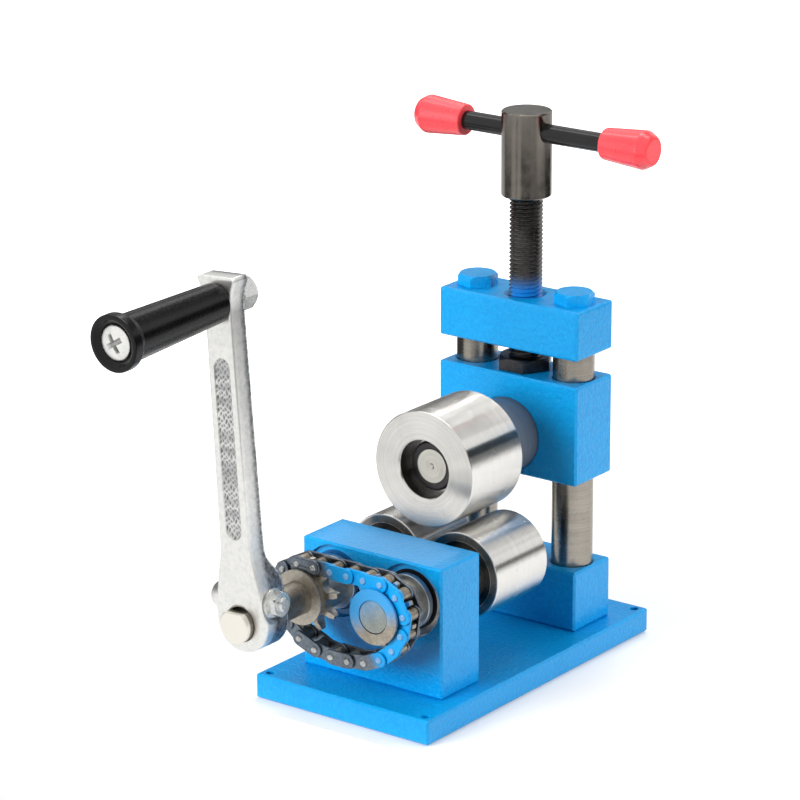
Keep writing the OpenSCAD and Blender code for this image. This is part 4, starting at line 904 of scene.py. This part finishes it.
# %% Crank arm
q = np.linspace(-1, 1, 71)
across = 0.6 * q + 0.4 * np.sin(np.pi * q / 2)
end_rows = END_Z - 2.6 + 2.6 * np.sin(np.linspace(0, np.pi / 2, 14))
arm_rows = np.concatenate([np.arange(NECK_Z, 126, 0.45), np.arange(126, END_Z - 2.6, 0.8), end_rows])
side_rows = np.linspace(NECK_Z, 0, 40)[1:]
foot_turn = np.linspace(np.pi, 2 * np.pi, 80)[1:-1]


def arm_layout():
    """The square grid along the arm: x is a share of the half width, z the row."""
    z = np.repeat(arm_rows[:, None], len(across), 1)
    return across[None] * half_width(z), z


def boss_layout(shares):
    """The polar grid round the bore: from the bore's circle to the line across the neck and the outline
    below."""
    w = half_width(np.array(NECK_Z))
    rim_x = np.concatenate([-across * w, -half_width(side_rows), BOSS_R * np.cos(foot_turn),
                            half_width(side_rows[::-1])])
    rim_z = np.concatenate([np.full(len(across), NECK_Z), side_rows, BOSS_R * np.sin(foot_turn),
                            side_rows[::-1]])
    angle = np.arctan2(rim_z, rim_x)
    hole_x, hole_z = CRANK_BORE_R * np.cos(angle), CRANK_BORE_R * np.sin(angle)
    s = shares[:, None]
    return hole_x + s * (rim_x - hole_x), hole_z + s * (rim_z - hole_z)


def sheet(layout, height, round_columns=False):
    """Points and faces of a height field over a layout."""
    x, z = layout
    points = np.stack([x, height(x, z), z], -1)
    return points.reshape(-1, 3), grid_faces(*x.shape, round_columns)


fine_shares = np.concatenate([np.linspace(0, 0.12, 4), np.linspace(0.18, 0.54, 6), np.linspace(0.58, 1, 14)])
coarse_shares = np.concatenate([np.linspace(0, 0.6, 4), np.linspace(0.7, 1, 7)])
top_x = across[-2:0:-1] * half_width(END_Z)
outline_x = np.concatenate([half_width(arm_rows), top_x, -half_width(arm_rows[::-1]), -half_width(side_rows),
                            BOSS_R * np.cos(foot_turn), half_width(side_rows[::-1])])
outline_z = np.concatenate([arm_rows, np.full(len(top_x), END_Z), arm_rows[::-1], side_rows,
                            BOSS_R * np.sin(foot_turn), side_rows[::-1]])


def wall(x, z, front, back, rows):
    """A wall between two depths along a closed line."""
    v = np.linspace(0, 1, rows)[:, None]
    y = front(x, z) + v * (back(x, z) - front(x, z))
    points = np.stack([np.broadcast_to(x, y.shape), y, np.broadcast_to(z, y.shape)], -1)
    return points.reshape(-1, 3), grid_faces(rows, len(x), True)


bore_turn = np.arctan2(*boss_layout(np.array([1.0]))[::-1])[0]
outer_wall = wall(outline_x, outline_z, front_height, back_height, 24)
crank_parts = [
    sheet(arm_layout(), front_height), sheet(boss_layout(fine_shares), front_height, True),
    sheet(arm_layout(), back_height), sheet(boss_layout(coarse_shares), back_height, True),
    outer_wall,
    wall(CRANK_BORE_R * np.cos(bore_turn), CRANK_BORE_R * np.sin(bore_turn), front_height, back_height, 3)]
points, faces = joined(*crank_parts)
print("crank", len(points), "points before merging")

# %% [markdown]
# The cotter pin crosses the boss. Its nut needs a flat seat in the boss's right side, and on the left a
# rounded lug stands round its other end: both move the points of the wall round the pin's axis. Then the
# whole crank leans over about the shaft, as the real one stands. Painted shade darkens the wall towards
# the back, where the side turns from the light, and lies in the grooves of the panel. The side of a casting
# is rougher and
# dirtier than its face, so the wall is marked darker towards the back.

# %% Crank seat and lean
COTTER_Z, SEAT_X, SEAT_ROUND_R, LUG_X = 9.35, 12.2, 7.4, 19.4
boss_mid = (boss_front + boss_back) / 2
off_axis = np.hypot(points[:, 1] - boss_mid, points[:, 2] - COTTER_Z)
seat_limit = SEAT_X + np.maximum(off_axis - SEAT_ROUND_R, 0)
lug = (1 - smooth((off_axis - 4.6) / 4.6)) * (points[:, 0] < -9)
x, y, z = points.T
x = np.where(x > 10, np.minimum(x, seat_limit), x - lug * (x + LUG_X))
on_wall = np.concatenate([np.full(len(part[0]), part is outer_wall) for part in crank_parts])
sunk, groove = panel_relief(x, z)
# Painted shade: the panel's grooves, and the wall darker towards the back.
groove_shade = np.where(y < boss_front + 3, 0.12 * np.clip(sunk, 0, 1) + 0.75 * groove, 0)
depth = (y - boss_front - 0.8) / (arm_back - boss_front - 0.8)
shade = 0.1 + 0.35 * smooth(depth) + 0.5 * smooth((depth - 0.5) / 0.32)
marks = np.where(on_wall, shade * smooth(depth * 6), groove_shade)
leaned = np.stack([x * math.cos(LEAN) - z * math.sin(LEAN), y, x * math.sin(LEAN) + z * math.cos(LEAN)], 1)
crank_zinc = cast_zinc("crank_zinc", (243, 242, 238), (228, 229, 226))
crank_arm = put("crank_casting", leaned + (left_axis[0], 0, left_axis[2]), faces, "crank_arm", crank_zinc,
                marks=marks, sharp=35)
print("crank", len(crank_arm.data.polygons), "faces")

# %% [markdown]
# The machine stands on a pale bench top, which ends just in front of the base plate because the crank
# swings below it. The bench glows a little more with distance, so that it fades into the white surround
# and still keeps the shadow near the machine. The surround is white for the camera and for reflections,
# and dimmer for the light that it sheds.

# %% Bench and surround
def flat_card(name, corners):
    """A sheet with four corners that belongs to the stage and not to the machine."""
    mesh = bpy.data.meshes.new(name)
    mesh.from_pydata(corners, [], [(0, 1, 2, 3)])
    card = bpy.data.objects.new(name, mesh)
    bpy.context.scene.collection.objects.link(card)
    return card


def white_to_eye(tree):
    """One for rays from the camera, from a gloss or through glass, and nought for others."""
    path = add(tree, "LightPath").outputs
    return maths(tree, "MAXIMUM", maths(tree, "MAXIMUM", path["Is Camera Ray"], path["Is Glossy Ray"]),
                 path["Is Transmission Ray"])


def level_corners(x, y, z):
    """Corners of a level sheet between two x and two y at one height."""
    return [(x[0], y[0], z), (x[1], y[0], z), (x[1], y[1], z), (x[0], y[1], z)]


BENCH_X, BENCH_Y, BENCH_Z = (-4, 4), (-0.1, 6), -0.0004
bench = flat_card("bench_top", level_corners(BENCH_X, BENCH_Y, BENCH_Z))
pale = bpy.data.materials.new("bench_pale")
pale.use_nodes = True
tree = pale.node_tree
tree.nodes.clear()
eye = add(tree, "LightPath").outputs["Is Camera Ray"]
place = add(tree, "TexCoord").outputs["Object"]
away = add(tree, "VectorMath", {0: place}, operation="LENGTH").outputs["Value"]
reach = {"Value": away, "From Min": 0.16, "From Max": 0.7, "To Max": 0.7}
far_glow = add(tree, "MapRange", reach).outputs["Result"]
glow_share = maths(tree, "MULTIPLY_ADD", eye, far_glow, maths(tree, "MULTIPLY", white_to_eye(tree), 0.2))
glow = add(tree, "Emission", {"Color": (1, 1, 1, 1), "Strength": glow_share})
dull = add(tree, "BsdfDiffuse", {"Color": (0.82, 0.82, 0.82, 1)})
both = add(tree, "AddShader", {0: dull.outputs[0], 1: glow.outputs[0]})
add(tree, "OutputMaterial", {"Surface": both.outputs[0]})
bench.data.materials.append(pale)

world = bpy.data.worlds.new("surround")
bpy.context.scene.world = world
world.use_nodes = True
tree = world.node_tree
tree.nodes.clear()
strength = maths(tree, "MULTIPLY_ADD", white_to_eye(tree), 0.74, 0.26)
back_light = add(tree, "Background", {"Color": (1, 1, 1, 1), "Strength": strength})
add(tree, "OutputWorld", {"Surface": back_light.outputs[0]})
print("bench top ends", -1000 * BENCH_Y[0], "mm before the middle")

# %% [markdown]
# Three soft square lamps light the machine: one from the front left, a weaker one from the right and one
# from above and behind. Only the last one shows in reflections, as a bright line along the rollers.

# %% Lamps
def soft_lamp(name, place, aim, size, watts, in_gloss=True):
    """A square lamp at a place, facing an aim point. Not every lamp shows in reflections."""
    lamp = bpy.data.lights.new(name, "AREA")
    lamp.size = size
    lamp.energy = watts
    holder = bpy.data.objects.new(name, lamp)
    holder.location = place
    holder.rotation_mode = "QUATERNION"
    holder.rotation_quaternion = (Vector(aim) - Vector(place)).to_track_quat("-Z", "Y")
    holder.visible_glossy = in_gloss
    bpy.context.scene.collection.objects.link(holder)


MIDDLE = (0, 0, 0.1)
soft_lamp("key_lamp", (-0.6, -1.5, 0.6), MIDDLE, 1.0, 37, False)
soft_lamp("fill_lamp", (1.6, 0.25, 0.8), MIDDLE, 1.2, 20, False)
soft_lamp("top_lamp", (-0.2, 0.75, 1.65), MIDDLE, 1.1, 18)
print("lamps:", ", ".join(lamp.name for lamp in bpy.data.lights))

# %% [markdown]
# Polished steel shows its surroundings, so a plain white room would leave it without form. Photographers
# set up cards for this, and here they are sheets of one even grey that only reflections see. A dark strip
# to the right makes one dark band along each roller, and others on the left darken the far sides of the
# rollers. White cards at the crossbar and on the front block keep their blue out of the upper roller. A
# dark sheet above leaves the grip black, a bright one draws a line along the sliding bar, and upright
# cards shade the head of the screw.

# %% Cards for reflections
def reflected_card(name, corners, grey, front_only=False):
    """A card of one even grey that only reflections see, from both sides or only from its front."""
    card = flat_card(name, corners)
    material = bpy.data.materials.new(name)
    material.use_nodes = True
    tree = material.node_tree
    tree.nodes.clear()
    surface = add(tree, "Emission", {"Color": (grey, grey, grey, 1), "Strength": 1.0}).outputs[0]
    if front_only:
        behind = add(tree, "NewGeometry").outputs["Backfacing"]
        clear = add(tree, "BsdfTransparent").outputs[0]
        surface = add(tree, "MixShader", {0: behind, 1: surface, 2: clear}).outputs[0]
    add(tree, "OutputMaterial", {"Surface": surface})
    card.data.materials.append(material)
    card.visible_camera = card.visible_diffuse = card.visible_shadow = False


def side_corners(x, y, z):
    """Corners of an upright sheet along Y, between two y and two heights at one x."""
    return [(x, y[0], z[0]), (x, y[1], z[0]), (x, y[1], z[1]), (x, y[0], z[1])]


def front_corners(x, y, z):
    """Corners of an upright sheet along X that faces the crank, between two x and two heights."""
    return [(x[0], y, z[0]), (x[1], y, z[0]), (x[1], y, z[1]), (x[0], y, z[1])]


def round_corners(start, end, distance, z):
    """Corners of an upright sheet across two headings in degrees, at a distance from the screw."""
    x1, x2 = (distance * math.cos(math.radians(heading)) for heading in (start, end))
    y1, y2 = (distance * math.sin(math.radians(heading)) + SCREW_Y for heading in (start, end))
    return [(x1, y1, z[0]), (x2, y2, z[0]), (x2, y2, z[1]), (x1, y1, z[1])]


ALONG_ROLLERS, CROSSBAR_Z, BEFORE_CROSSBAR = (-0.4, 2.6), (0.13, 0.172), 0.0385
reflected_card("dark_strip_right", side_corners(0.75, ALONG_ROLLERS, (0.12, 0.56)), 0.02)
reflected_card("dark_strip_left", side_corners(-0.8, ALONG_ROLLERS, (0.08, 0.42)), 0.03)
reflected_card("dark_high_left", side_corners(-0.8, ALONG_ROLLERS, (0.56, 0.85)), 0.12)
reflected_card("low_left", side_corners(-0.2, (-0.1, 0.5), (0.0, 0.12)), 0.08)
reflected_card("white_shelf", level_corners((0.08, 0.17), (-0.05, 0.3), 0.105), 1.0)
reflected_card("dark_over_grip", level_corners((-0.3, 0.7), (0.35, 0.78), 0.9), 0.02)
reflected_card("bright_over_bar", level_corners((-1.0, -0.5), (-0.06, 0.17), 1.23), 4.0)
reflected_card("white_over_block", level_corners((-0.04, 0.03), (-0.066, -0.036), 0.0775), 1.0)
reflected_card("white_before_crossbar", front_corners((-0.02, 0.045), BEFORE_CROSSBAR, CROSSBAR_Z), 1.0, True)
reflected_card("grey_before_crossbar", front_corners((-0.07, -0.02), BEFORE_CROSSBAR, CROSSBAR_Z), 0.2, True)

SCREW_Y, HEAD_CARD_AT, HEAD_CARD_Z = 0.056, 0.3, (0.112, 0.178)
head_cards = {"grey_left": (-170, -125, 0.2), "dark_near": (-80, -38, 0.03), "grey_right": (-38, 36, 0.3),
              "dark_far_right": (36, 82, 0.03)}
for name, (start, end, grey) in head_cards.items():
    reflected_card(name, round_corners(start, end, HEAD_CARD_AT, HEAD_CARD_Z), grey)
print(len(head_cards), "cards round the screw's head")
